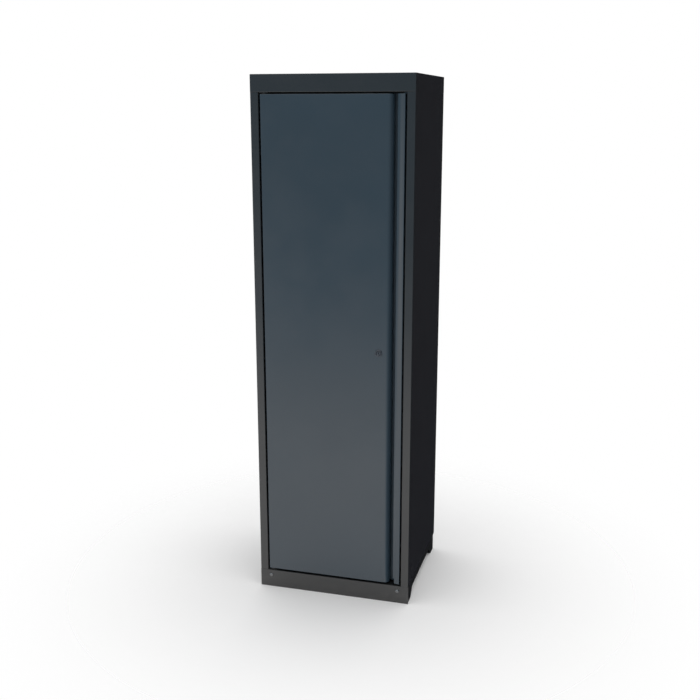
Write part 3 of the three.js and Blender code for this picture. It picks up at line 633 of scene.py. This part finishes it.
def finished_solid(node, slot, body, recessed=False):
    """A finished piece that keeps the shape of its node."""
    finished(node, solid_of(node), slot, body, recessed=recessed)


# Geometry node trees

NOWHERE = (0.0, 0.0, 0.0)


def geometry(tree, kind, inputs, **settings):
    """What a geometry node puts out first."""
    return add_node(tree, f"GeometryNode{kind}", inputs, **settings).outputs[0]


def real_copies(tree, points, inputs):
    """Copies of an instance on points, made real."""
    copies = geometry(tree, "InstanceOnPoints", {"Points": points, **inputs})
    return geometry(tree, "RealizeInstances", {"Geometry": copies})


def dressed(tree, shape, material):
    """A tree's last step: its shape with a material."""
    return geometry(tree, "SetMaterial", {"Geometry": shape, "Material": material})


def set_out():
    """Copies of a shape at the crossings of rows and columns, turned about their own upright axis."""
    inputs = {
        "Shape": "NodeSocketGeometry", "Start": NOWHERE, "Rows": 1, "Row Step": NOWHERE, "Columns": 1,
        "Column Step": NOWHERE, "Turn": 0.0, "Finish": "NodeSocketMaterial",
    }
    tree, given, result = new_group("set_out", "GeometryNodeTree", inputs, {"Copies": "NodeSocketGeometry"})
    row = {"Count": given["Rows"], "Start Location": given["Start"], "Offset": given["Row Step"]}
    rows = geometry(tree, "MeshLine", row)
    columns = geometry(tree, "MeshLine", {"Count": given["Columns"], "Offset": given["Column Step"]})
    points = real_copies(tree, rows, {"Instance": columns})
    angle = add_node(tree, "ShaderNodeCombineXYZ", {"Z": given["Turn"]}).outputs["Vector"]
    copies = real_copies(tree, points, {"Instance": given["Shape"], "Rotation": angle})
    return putting_out(tree, result, Copies=dressed(tree, copies, given["Finish"]))


def punched():
    """A row of rectangular slots punched through a sheet."""
    inputs = {
        "Sheet": "NodeSocketGeometry", "Slot": (0.01, 0.01, 0.01), "Start": NOWHERE, "Count": 1,
        "Step": NOWHERE, "Finish": "NodeSocketMaterial",
    }
    tree, given, result = new_group("punched", "GeometryNodeTree", inputs, {"Sheet": "NodeSocketGeometry"})
    row = {"Count": given["Count"], "Start Location": given["Start"], "Offset": given["Step"]}
    punch = geometry(tree, "MeshCube", {"Size": given["Slot"]})
    tools = real_copies(tree, geometry(tree, "MeshLine", row), {"Instance": punch})
    meshes = {"Mesh 1": given["Sheet"], "Mesh 2": tools}
    opened = geometry(tree, "MeshBoolean", meshes, operation="DIFFERENCE", solver="EXACT")
    real = geometry(tree, "RealizeInstances", {"Geometry": opened})
    return putting_out(tree, result, Sheet=dressed(tree, real, given["Finish"]))


def by_nodes(bm, build, finish_slot, **values):
    """A mesh taken through one of the geometry node trees, which gives it the finish of a slot."""
    piece = new_object("by_nodes", bm)
    modifier = add_modifier(piece, "NODES", node_group=shared(build))
    values["finish"] = finish_of(finish_slot)
    for socket in modifier.node_group.interface.items_tree:
        key = socket.name.lower().replace(" ", "_")
        if socket.in_out == "INPUT" and key in values:
            modifier[socket.identifier] = values[key]
    return removed(baked(piece))


# Pieces


class LOCKER_OT_side_panels(Operator):
    """Folds the two sides: stile, jamb and door stop in front, turned-in edges behind, above and below"""

    bl_idname = "locker.side_panels"
    bl_label = "Side Panels"

    def execute(self, context):
        sizes = context.scene.locker_sizes
        jamb = RIGHT - sizes.stile
        stop = HEADER_REAR - sizes.sheet
        line = [(STOP_X, stop), (jamb, stop), (jamb, FRONT), (RIGHT, FRONT), (RIGHT, BACK)]
        line.append((RIGHT - sizes.rear_flange, BACK))
        panel = folded(line, (SHELL_LOW, SHELL_HIGH), sizes)
        inner, outer = RIGHT - sizes.seam_flange, RIGHT - sizes.sheet / 2
        near, far = FRONT + sizes.bend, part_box("back_panel")[1].y - 2 * sizes.sheet
        ends = ((BASE_HIGH + CLOSE, SHELL_LOW + sizes.sheet), (SHELL_HIGH - sizes.sheet, CAP_LOW - CLOSE))
        right = joined(panel, *(box((inner, near, low), (outer, far, high)) for low, high in ends))
        left = mirrored(right)
        finished("right_side_panel", right, *CARCASS)
        finished("left_side_panel", left, *CARCASS)
        return {"FINISHED"}


class LOCKER_OT_back_panel(Operator):
    """Lays the back sheet inside the sides' rear flanges and marks the spot welds along them"""

    bl_idname = "locker.back_panel"
    bl_label = "Back Panel"

    def execute(self, context):
        sizes = context.scene.locker_sizes
        back = solid_of("back_panel")
        for corner in back.verts:
            if corner.co.z < SHELL_LOW + SAME:
                corner.co.z = BASE_HIGH + CLOSE
            if corner.co.z > SHELL_HIGH - SAME:
                corner.co.z = CAP_LOW - CLOSE
        finished("back_panel", back, *CARCASS)
        column = RIGHT - sizes.rear_flange / 2
        welds = weld_rows(sizes, (-column, column), BACK, (SHELL_LOW, SHELL_HIGH), "carcass_paint")
        finished("back_spot_welds", welds, *CARCASS, eased=False)
        return {"FINISHED"}


def weld_rows(sizes, columns, face, ends, slot):
    """Two upright rows of spot welds' dished marks on a face towards +Y."""
    radius = sizes.weld / 2
    profile = [(0.0, 0.06), (0.55, 0.07), (0.82, 0.2), (1.0, 0.0), (0.8, -0.3), (0.0, -0.3)]
    mark = turned([(radius * out, sizes.sheet * along) for out, along in profile], "Y", steps=12)
    count = int((ends[1] - ends[0]) / sizes.weld_pitch)
    lowest = (ends[0] + ends[1] - (count - 1) * sizes.weld_pitch) / 2
    return by_nodes(
        mark, set_out, slot, start=(columns[0], face, lowest), rows=count,
        row_step=(0.0, 0.0, sizes.weld_pitch), columns=2, column_step=(columns[1] - columns[0], 0.0, 0.0),
    )


class LOCKER_OT_top_cap(Operator):
    """Draws the cap over the top, and behind its front the header with the upper stop and strike"""

    bl_idname = "locker.top_cap"
    bl_label = "Top Cap"

    def execute(self, context):
        sizes = context.scene.locker_sizes
        cap = pan(box(*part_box("top_cap")), DOWN, sizes.seam_flange, sizes.cap_bend, sizes.sheet)
        finished("top_cap", cap, *CARCASS)
        for node in ("door_header", "upper_strike_plate"):
            finished_solid(node, *CARCASS, recessed=True)
        return {"FINISHED"}


class LOCKER_OT_base(Operator):
    """Makes the base with its feet, the kick plate, and the screws and nuts that hold it"""

    bl_idname = "locker.base"
    bl_label = "Base"

    def execute(self, context):
        sizes = context.scene.locker_sizes
        finished_solid("base_frame", *CARCASS, recessed=True)
        kick = solid_of("kick_plate")
        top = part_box("kick_plate")[1].z - SAME
        edge = [e for e in kick.edges if all(v.co.z > top and v.co.y < FRONT + SAME for v in e.verts)]
        rounded(kick, edge, sizes.kick_edge, 3)
        finished("kick_plate", kick, *CARCASS)
        screws = at_both_ends(kick_screw(), "left_kick_screw", "dark_steel")
        nodes = ("left_kick_screw", "right_kick_screw")
        finished("kick_screws", screws, "dark_steel", "carcass", *nodes, eased=False)
        nut = moved(solid_of("left_kick_nut"), -middle_of("left_kick_nut", "y"))
        nuts = at_both_ends(nut, "left_kick_nut", "zinc")
        finished("kick_nuts", nuts, "zinc", "carcass", "left_kick_nut", "right_kick_nut")
        return {"FINISHED"}


def at_both_ends(shape, node, slot):
    """A fixing of the kick plate drawn on the Y axis, set out at the plate's two ends."""
    x, _, z = middle_of(node)
    return by_nodes(shape, set_out, slot, start=(x, 0.0, z), rows=2, row_step=(-2 * x, 0.0, 0.0))


def kick_screw():
    """A button-head screw on the Y axis: a domed head with a hexagon socket, and a threaded shank."""
    low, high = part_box("left_kick_screw")
    seat = FRONT - TOUCH
    head = radius_of("left_kick_screw")
    crown = 0.45 * head
    profile = [(0.0, low.y)]
    profile += quarter_round((crown, seat), (head - crown, seat - low.y), 8)
    profile += thread(radius=0.003, ends=(seat, high.y), pitch=0.001, depth=0.0003)
    profile.append((0.0, high.y))
    socket, depth = 0.002, 0.0018
    hexagon = [(socket * math.cos(a), socket * math.sin(a)) for a in arc(2 * math.pi, 6)[:-1]]
    return cut(turned(profile, "Y", steps=36), prism(hexagon, (low.y - PAST, low.y + depth), "Y"))


def thread(radius, ends, pitch, depth):
    """The zigzag of a thread's profile, from one end to the other."""
    turns = int((ends[1] - ends[0]) / pitch)
    start = ends[0] + (ends[1] - ends[0] - turns * pitch) / 2
    points = [(radius, ends[0])]
    for turn in range(turns):
        zigzag = ((0.2, 0.0), (0.5, depth), (0.8, 0.0))
        points += [(radius - inward, start + (turn + part) * pitch) for part, inward in zigzag]
    points.append((radius, ends[1]))
    return points


class LOCKER_OT_shelving(Operator):
    """Sets out the slotted uprights, the shelves and the clips under them"""

    bl_idname = "locker.shelving"
    bl_label = "Shelving"

    def execute(self, context):
        sizes = context.scene.locker_sizes
        front_low, front_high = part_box("front_right_upright")
        middle = (front_low.y + front_high.y) / 2
        upright = slotted_upright(front_high - front_low, sizes)
        clip_low, clip_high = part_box("shelf_1_front_right_clip")
        clip = moved(solid_of("shelf_1_front_right_clip"), (-front_low.x, -middle, -clip_high.z))
        rounded(clip, edges_at(clip, "z", "x", clip_low.x - front_low.x), sizes.corner, 3)
        row_step = (0.0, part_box("rear_right_upright")[0].y - front_low.y, 0.0)
        shelf_step = (0.0, 0.0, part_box("shelf_2")[0].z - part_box("shelf_1")[0].z)
        for side, sign, turn in (("right", 1, 0.0), ("left", -1, math.pi)):
            rows = {"rows": 2, "row_step": row_step, "turn": turn}
            start = (sign * front_low.x, middle, front_low.z)
            rails = by_nodes(upright.copy(), set_out, "carcass_paint", start=start, **rows)
            finished(f"{side}_uprights", rails, *CARCASS, f"front_{side}_upright", f"rear_{side}_upright")
            start = (sign * front_low.x, middle, clip_high.z)
            levels = {"columns": 3, "column_step": shelf_step}
            clips = by_nodes(clip.copy(), set_out, "zinc", start=start, **rows, **levels)
            nodes = [f"shelf_{level}_{row}_{side}_clip" for level in (1, 2, 3) for row in ("front", "rear")]
            finished(f"{side}_shelf_clips", clips, "zinc", "carcass", *nodes)
        upright.free()
        clip.free()
        for node in ("shelf_1", "shelf_2", "shelf_3"):
            shelf = pan(box(*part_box(node)), DOWN, sizes.shelf_return, sizes.bend, sizes.sheet)
            finished(node, shelf, *CARCASS)
        return {"FINISHED"}


def slotted_upright(extent, sizes):
    """A channel standing on Z with its face at X 0 and its open side towards +X, punched with slots."""
    half = extent.y / 2
    sheet = sizes.upright_sheet
    line = [(extent.x, half), (0.0, half), (0.0, -half), (extent.x, -half)]
    channel = folded(line, (0.0, extent.z), sizes, sheet)
    lowest = sizes.slot_start - sizes.slot_height / 2 + PLAY
    return by_nodes(
        channel, punched, "carcass_paint", slot=(4 * sheet, sizes.slot_width, sizes.slot_height),
        start=(sheet / 2, 0.0, lowest), count=sizes.slot_count, step=(0.0, 0.0, sizes.slot_pitch),
    )


class LOCKER_OT_pivots(Operator):
    """Makes the plates, pins and flanged bushes that the door turns on"""

    bl_idname = "locker.pivots"
    bl_label = "Pivots"

    def execute(self, context):
        sizes = context.scene.locker_sizes
        for level in ("lower", "upper"):
            plate, pin, bush = (f"{level}_pivot_{part}" for part in ("plate", "pin", "bush"))
            bm = solid_of(plate)
            ends = [end.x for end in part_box(plate)]
            rounded(bm, edges_at(bm, "z", "x", *ends), sizes.corner, 3)
            finished(plate, bm, *CARCASS, recessed=True)
            at_pin = middle_of(pin, "z")
            finished(pin, moved(pivot_pin(pin), at_pin), "zinc", "carcass", eased=False)
            finished(bush, moved(pivot_bush(bush, radius_of(pin)), at_pin), "nylon", "door", eased=False)
        return {"FINISHED"}


def pivot_pin(node):
    """A plain pin with chamfered ends, on the Z axis."""
    low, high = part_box(node)
    radius = radius_of(node)
    ease = 0.0008
    profile = [(0.0, low.z), (radius - ease, low.z), (radius, low.z + ease)]
    profile += [(radius, high.z - ease), (radius - ease, high.z), (0.0, high.z)]
    return turned(profile, "Z", steps=32)


def pivot_bush(node, pin_radius):
    """A flanged bush for a pin on the Z axis: the flange lies outside the door's end."""
    low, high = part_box(node)
    flange = radius_of(node)
    body = flange * BUSH_BODY
    bore = pin_radius + PLAY
    if high.z > DOOR_HIGH:
        up, outer, inner, seat = 1, high.z, low.z, DOOR_HIGH + TOUCH
    else:
        up, outer, inner, seat = -1, low.z, high.z, DOOR_LOW - TOUCH
    ease = 0.0004
    profile = [
        (bore + ease, outer), (flange - ease, outer), (flange, outer - up * ease), (flange, seat + up * ease),
        (flange - ease, seat), (body, seat), (body, inner + up * 2 * ease), (body - ease, inner),
        (bore + ease, inner), (bore, inner + up * ease), (bore, outer - up * ease),
    ]
    return turned(profile, "Z", steps=36)


class LOCKER_OT_door(Operator):
    """Presses the door with its pull groove, the rolled strip over the groove, and the stiffener inside"""

    bl_idname = "locker.door"
    bl_label = "Door"

    def execute(self, context):
        sizes = context.scene.locker_sizes
        finished("door_skin", door_skin(sizes), *DOOR)
        # The groove floor is dull from its thin coat; its lighter tone is painted light in the recess
        finished("pull_groove", groove_floor(sizes), *DOOR, recessed=True)
        finished("pull_rail", pull_strip(sizes), *DOOR)
        low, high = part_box("door_stiffener")
        flange = sizes.stiffener_flange
        base, crown = low.y, high.y - sizes.sheet
        hat = [(low.x, base), (low.x + flange, base), (low.x + flange, crown)]
        hat += [(high.x - flange, crown), (high.x - flange, base), (high.x, base)]
        finished("door_stiffener", folded(hat, (low.z, high.z), sizes), *DOOR)
        columns = (low.x + flange / 2, high.x - flange / 2)
        welds = weld_rows(sizes, columns, base + sizes.sheet, (low.z, high.z), "door_paint")
        finished("stiffener_spot_welds", welds, *DOOR, eased=False)
        return {"FINISHED"}


def door_skin(sizes):
    """The door: one pressed pan whose right side bends back into the pull groove."""
    flat_end = STRIP_LEFT - sizes.groove_mouth
    bend = sizes.groove_bend
    section = [(DOOR_LEFT, DOOR_REAR), (DOOR_LEFT, FRONT)]
    section += quarter_round((flat_end, FRONT + bend), (bend, bend), 16)
    section.append((flat_end + bend, DOOR_REAR))
    form = prism(section, (DOOR_LOW, DOOR_HIGH), "Z")
    skin = pan(form, REARWARD, sizes.door_lip, sizes.bend, sizes.sheet)
    reach = 0.003
    hole = round_plug(sizes.lock_hole, (FRONT - PAST, FRONT + reach), "Y")
    openings = [moved(hole, middle_of("lock_body", "y"))]
    for level, end in (("lower", DOOR_LOW), ("upper", DOOR_HIGH)):
        low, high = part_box(f"{level}_lock_rod")
        corner = (low.x - PLAY, low.y - PLAY, end - reach)
        openings.append(box(corner, (high.x + PLAY, high.y + PLAY, end + reach)))
        bush = f"{level}_pivot_bush"
        hole = round_plug(radius_of(bush) * BUSH_HOLE, (end - reach, end + reach), "Z")
        openings.append(moved(hole, middle_of(bush, "z")))
    return cut(skin, *openings)


def groove_floor(sizes):
    """The floor of the pull groove, with the edge that the strip is welded to."""
    wall = STRIP_LEFT - sizes.groove_mouth + sizes.groove_bend
    floor = DOOR_REAR - sizes.sheet
    edge = GROOVE_EDGE - sizes.sheet
    line = [(wall - sizes.sheet, floor), (edge, floor), (edge, floor - sizes.groove_tab)]
    return folded(line, (DOOR_LOW, DOOR_HIGH), sizes)


def pull_strip(sizes):
    """The strip over the groove: a rolled nose that stops short of its foot, a narrow front and a side."""
    rear = FRONT + sizes.strip_depth
    half = (DOOR_RIGHT - STRIP_LEFT) / 2
    middle = FRONT + half * math.tan(sizes.strip_lean - sizes.strip_crown / 2)
    front = middle + half * math.tan(sizes.strip_lean + sizes.strip_crown / 2)
    hem = STRIP_LEFT + sizes.strip_hem
    line = [
        (hem, rear),
        (STRIP_LEFT, rear, sizes.strip_roll),
        (STRIP_LEFT, front, sizes.strip_roll),
        (STRIP_LEFT + half, middle, half / 2 / math.tan(sizes.strip_crown / 2)),
        (DOOR_RIGHT, FRONT, sizes.strip_edge),
        (DOOR_RIGHT, DOOR_REAR),
    ]
    strip = folded(line, (DOOR_LOW, DOOR_HIGH), sizes)
    corner = (STRIP_LEFT - PAST, FRONT - PAST, DOOR_LOW - PAST)
    return cut(strip, box(corner, (hem, rear + PAST, DOOR_LOW + sizes.strip_notch)))


class LOCKER_OT_lock(Operator):
    """Turns the lock's barrel and plug with its keyway, and makes the nut, the cam and its screw"""

    bl_idname = "locker.lock"
    bl_label = "Lock"

    def execute(self, context):
        at_lock = middle_of("lock_body", "y")
        plug = lock_plug(context.scene.locker_sizes)
        finished("lock_body", moved(lock_barrel(), at_lock), "lock_nickel", "door", eased=False)
        finished_solid("lock_nut", "zinc", "door")
        finished("lock_plug", moved(plug, at_lock), "lock_nickel", "lock_plug", eased=False)
        finished_solid("lock_cam", "zinc", "lock_plug")
        finished("lock_cam_screw", moved(cam_screw(), at_lock), "zinc", "lock_plug", eased=False)
        return {"FINISHED"}


def lock_barrel():
    """The bezel with a rounded rim, and the threaded barrel behind it, about the Y axis."""
    low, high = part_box("lock_body")
    bezel = radius_of("lock_body")
    bore = radius_of("lock_plug") + PLAY
    barrel = 0.85 * bezel
    seat = FRONT - TOUCH
    rim = 0.7 * (seat - low.y)
    mouth, neck, ease = 0.0008, 0.0012, 0.0005
    profile = [(bore, high.y), (bore, low.y + 0.0009), (bore + mouth, low.y + 0.0001)]
    profile.append((bore + 2 * mouth, low.y))
    profile += quarter_round((bezel - rim, low.y + rim), (rim, rim), 6)
    profile += [(bezel, seat), (barrel, seat), (barrel, FRONT + neck)]
    profile += thread(barrel, ends=(FRONT + neck + 0.0002, high.y - ease), pitch=0.001, depth=0.0004)
    profile.append((barrel - ease, high.y))
    return turned(profile, "Y", steps=56)


def lock_plug(sizes):
    """The plug with a dished face and a keyway, and the square tail that drives the cam."""
    low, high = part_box("lock_plug")
    radius = radius_of("lock_plug")
    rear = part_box("lock_body")[1].y
    dish, ease = 0.0004, 0.0003
    profile = [(0.0, low.y + dish), (radius - 0.0014 - dish, low.y + dish), (radius - 0.0014, low.y)]
    profile += [(radius - ease, low.y), (radius, low.y + ease), (radius, rear), (0.0, rear)]
    tail, overlap = 0.003, 0.002
    drive = box((-tail, rear - overlap, -tail), (tail, high.y, tail))
    half = sizes.keyway / 2
    reach = 0.004 - half
    slot = [(half * math.cos(a), reach + half * math.sin(a)) for a in arc(math.pi, 6)]
    slot += [(-u, -v) for u, v in slot]
    depth = (low.y - PAST, low.y + 0.012)
    ward = box((0.0, depth[0], -0.0012), (half + 0.0007, depth[1], 0.0006))
    return joined(cut(turned(profile, "Y", steps=48), prism(slot, depth, "Y"), ward), drive)


def cam_screw():
    """A pan-head screw with a cross recess, its head towards +Y."""
    low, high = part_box("lock_cam_screw")
    head = radius_of("lock_cam_screw")
    shank, ease = 0.0015, 0.0003
    dome, edge = 0.0016, 0.0006
    seat = high.y - dome - edge
    profile = [(0.0, low.y), (shank - ease, low.y), (shank, low.y + ease), (shank, seat), (head, seat)]
    for a in arc(math.pi / 2, 5):
        profile.append((head - dome * (1 - math.cos(a)), seat + edge + dome * math.sin(a)))
    profile.append((0.0, high.y))
    long, short, depth = 0.002, 0.0005, 0.0013
    bars = [box((-a, high.y - depth, -b), (a, high.y + PAST, b)) for a, b in ((long, short), (short, long))]
    return cut(turned(profile, "Y", steps=32), *bars)


class LOCKER_OT_rods(Operator):
    """Makes the two lock rods, their tips rounded off, and the guides that they slide in"""

    bl_idname = "locker.rods"
    bl_label = "Lock Rods"

    def execute(self, context):
        sizes = context.scene.locker_sizes
        for level, tip in (("upper", 1), ("lower", 0)):
            rod = f"{level}_lock_rod"
            bm = solid_of(rod)
            rounded(bm, edges_at(bm, "y", "z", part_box(rod)[tip].z), sizes.rod_tip, 4)
            finished(rod, bm, "zinc", f"{level}_rod")
            finished_solid(f"{level}_rod_guide", "zinc", "door")
        return {"FINISHED"}


class LOCKER_OT_stops(Operator):
    """Makes the rubber buffers that the door shuts against and the magnetic catch above them"""

    bl_idname = "locker.stops"
    bl_label = "Stops and Catch"

    def execute(self, context):
        nodes = ("lower_door_buffer", "middle_door_buffer", "upper_door_buffer")
        start = middle_of(nodes[0], "y")
        step = (0.0, 0.0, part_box(nodes[1])[0].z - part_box(nodes[0])[0].z)
        buffers = by_nodes(door_buffer(), set_out, "rubber", start=start, rows=3, row_step=step)
        finished("door_buffers", buffers, "rubber", "carcass", *nodes, eased=False)
        low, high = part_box("magnetic_catch")
        face = low.y + 0.0015
        case = box((low.x, face, low.z), high)
        rounded(case, sharp_edges(case), 0.0009, 3)
        depth = 0.0005
        places = (-0.006, -0.002, 0.002, 0.006)
        grooves = catch_bars(places, 0.0006, (face - PAST, low.z - PAST), (face + depth, high.z))
        finished("magnetic_catch", cut(case, *grooves), "black_plastic", "carcass", eased=False)
        sunk, inset = 0.002, 0.0008
        foot, head = (low.y, low.z + inset), (face + sunk, DOOR_HIGH - inset)
        poles = catch_bars((-0.012, 0.012), 0.0015, foot, head)
        poles = [rounded(pole, sharp_edges(pole), 0.0004, 2) for pole in poles]
        finished("catch_poles", gathered(*poles), "zinc", "carcass", eased=False)
        return {"FINISHED"}


def catch_bars(places, half, low, high):
    """Upright bars at places on either side of the catch's middle, between two corners in Y and Z."""
    middle = middle_of("magnetic_catch").x
    return [box((middle + x - half, *low), (middle + x + half, *high)) for x in places]


def door_buffer():
    """A rubber buffer on the Y axis: a round nose with a dimple, a slight taper, and a foot."""
    low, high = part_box("lower_door_buffer")
    radius = radius_of("lower_door_buffer")
    nose, ease, foot = 0.82 * radius, 0.0014, 0.0009
    dimple, depth = 0.0016, 0.0006
    profile = [(0.0, low.y + depth), (dimple, low.y + depth), (dimple + 0.0005, low.y)]
    profile += quarter_round((nose - ease, low.y + ease), (ease, ease), 5)
    profile += [(radius, high.y - foot), (radius, high.y), (0.0, high.y)]
    return turned(profile, "Y", steps=32)


class LOCKER_OT_studio(Operator):
    """Sets up the floor, the light and the camera"""

    bl_idname = "locker.studio"
    bl_label = "Studio"

    def execute(self, context):
        studio = context.scene.locker_studio
        context.scene.view_settings.view_transform = "Standard"
        light_world(context.scene, studio)
        lay_floor(studio)
        add_key(context.scene, studio)
        camera = bpy.data.objects.new("camera", bpy.data.cameras.new("camera"))
        camera.data.lens = studio.lens
        camera.data.sensor_width = 36.0
        flat = math.cos(studio.elevation)
        away = (math.sin(studio.azimuth) * flat, -math.cos(studio.azimuth) * flat, math.sin(studio.elevation))
        camera.rotation_euler = Vector(away).to_track_quat("Z", "Y").to_euler()
        camera.location = studio.camera
        context.scene.collection.objects.link(camera)
        context.scene.camera = camera
        return {"FINISHED"}


def light_world(scene, studio):
    """Even light from all round, and a white backdrop that paint and metal mirror as a dim studio."""
    world = bpy.data.worlds.new("studio")
    scene.world = world
    world.use_nodes = True
    world.cycles.sampling_method = "NONE"
    tree = world.node_tree
    tree.nodes.clear()
    path = add_node(tree, "ShaderNodeLightPath").outputs
    way = add_node(tree, "ShaderNodeTexCoord").outputs["Generated"]
    x, y, height = add_node(tree, "ShaderNodeSeparateXYZ", {0: way}).outputs
    azimuth = calculate(tree, "ARCTAN2", x, calculate(tree, "MULTIPLY", y, -1.0))
    white, room, ceiling, dark_room = (
        (*colour, 1.0) for colour in ((1.0, 1.0, 1.0), studio.room, studio.ceiling, studio.dark)
    )
    # Each part of the mirrored room comes in between two azimuths or two heights
    side = studio.bright_side
    bright_sides = ((side + 0.14, side + 0.07), (side - 0.52, side - 0.2))
    pale_sides = ((0.96, -0.26), (-1.75, -0.5))
    dark_sides = ((0.175, studio.dark_side), (-1.13, -2.1))
    pale_below, ceiling_above, dark_below = (-0.18, -0.34), (0.4, 0.8), (0.7, 0.3)
    bright_rise = 0.24

    def on_sides(operation, sides):
        return calculate(tree, operation, *(ramp(tree, azimuth, *ends) for ends in sides))

    depth = calculate(tree, "MULTIPLY_ADD", on_sides("MULTIPLY", bright_sides), -bright_rise, height)
    pale = calculate(tree, "MULTIPLY", on_sides("MULTIPLY", pale_sides), ramp(tree, depth, *pale_below))
    dark = calculate(tree, "MULTIPLY", on_sides("MAXIMUM", dark_sides), ramp(tree, height, *dark_below))
    mirror = blend_colour(tree, pale, room, white)
    mirror = blend_colour(tree, ramp(tree, height, *ceiling_above), mirror, ceiling)
    mirror = blend_colour(tree, dark, mirror, dark_room)
    backdrop = blend_colour(tree, path["Is Glossy Ray"], white, mirror)
    shown = calculate(tree, "MAXIMUM", path["Is Camera Ray"], path["Is Transmission Ray"])
    shown = calculate(tree, "MAXIMUM", shown, path["Is Glossy Ray"])
    even = add_node(tree, "ShaderNodeBackground", {"Color": white, "Strength": studio.sky}).outputs[0]
    seen = add_node(tree, "ShaderNodeBackground", {"Color": backdrop, "Strength": 1.0}).outputs[0]
    mixed = add_node(tree, "ShaderNodeMixShader", {0: shown, 1: even, 2: seen}).outputs[0]
    add_node(tree, "ShaderNodeOutputWorld", {"Surface": mixed})


def floor_finish(name, studio, fade):
    """A pale matt floor that fades away from one radius to another."""
    material, tree, shader, place = new_material(name)
    shader.inputs["Roughness"].default_value = 0.9
    shader.inputs["Specular IOR Level"].default_value = 0.0
    away = add_node(tree, "ShaderNodeVectorMath", {0: place}, operation="LENGTH").outputs["Value"]
    mottle = ramp(tree, noise(tree, place, 3.0, detail=3.0), 0.3, 0.7, 0.995, 1.005)
    tree.links.new(multiply_vectors(tree, studio.floor, mottle), shader.inputs["Base Color"])
    tree.links.new(ramp(tree, away, *fade, 1.0, 0.0), shader.inputs["Alpha"])
    return material


def lay_floor(studio):
    """A floor that carries the shadow and fades into the backdrop, and the part of it that paint mirrors."""
    reach = 1.5 * studio.mirror_radius
    whole = [(-reach, -reach), (reach, -reach), (reach, reach), (-reach, reach)]
    ahead = [(-RIGHT - 1.2 * reach, -reach), (RIGHT + 0.07 * reach, -reach), (RIGHT, FRONT), (-RIGHT, FRONT)]
    lift = 0.0002
    floors = (
        ("floor", whole, 0.0, (studio.floor_whole, studio.floor_radius)),
        ("mirrored_floor", ahead, lift, (studio.mirror_whole, studio.mirror_radius)),
    )
    for name, corners, height, fade in floors:
        bm = bmesh.new()
        bm.faces.new([bm.verts.new((x, y, height)) for x, y in corners])
        floor = new_object(name, bm)
        floor.data.materials.append(floor_finish(name, studio, fade))
        floor.visible_glossy = name == "mirrored_floor"
        for rays in ("camera", "diffuse", "transmission", "shadow"):
            setattr(floor, f"visible_{rays}", name == "floor")


def add_key(scene, studio):
    """A large soft lamp overhead."""
    lamp = bpy.data.lights.new("key", "AREA")
    lamp.shape = "DISK"
    lamp.size = studio.key_size
    lamp.energy = studio.key_power
    lamp.specular_factor = 0.0
    key = bpy.data.objects.new("key", lamp)
    key.location = (-0.1, 0.35, 3.6)
    key.rotation_euler = key.location.to_track_quat("Z", "Y").to_euler()
    key.visible_camera = False
    scene.collection.objects.link(key)


class LOCKER_PT_panel(Panel):
    """Sizes, finishes and pieces of the locker"""

    bl_label = "Steel Tool Locker"
    bl_space_type = "VIEW_3D"
    bl_region_type = "UI"
    bl_category = "Locker"

    def draw(self, context):
        for name in GROUPS:
            group = getattr(context.scene, name)
            column = self.layout.column(align=True)
            for value in group.__annotations__:
                column.prop(group, value)
        for step in STEPS:
            self.layout.operator(step.bl_idname)


GROUPS = {"locker_sizes": LockerSizes, "locker_finishes": LockerFinishes, "locker_studio": LockerStudio}
STEPS = (
    LOCKER_OT_studio,
    LOCKER_OT_side_panels,
    LOCKER_OT_back_panel,
    LOCKER_OT_top_cap,
    LOCKER_OT_base,
    LOCKER_OT_shelving,
    LOCKER_OT_pivots,
    LOCKER_OT_door,
    LOCKER_OT_lock,
    LOCKER_OT_rods,
    LOCKER_OT_stops,
)
CLASSES = (*GROUPS.values(), *STEPS, LOCKER_PT_panel)


def register():
    for made in CLASSES:
        bpy.utils.register_class(made)
    for name, group in GROUPS.items():
        setattr(bpy.types.Scene, name, PointerProperty(type=group))


def unregister():
    for name in GROUPS:
        delattr(bpy.types.Scene, name)
    for made in reversed(CLASSES):
        bpy.utils.unregister_class(made)


def main():
    register()
    for step in STEPS:
        name = step.bl_idname.partition(".")[2]
        getattr(bpy.ops.locker, name)()


if __name__ == "__main__":
    main()
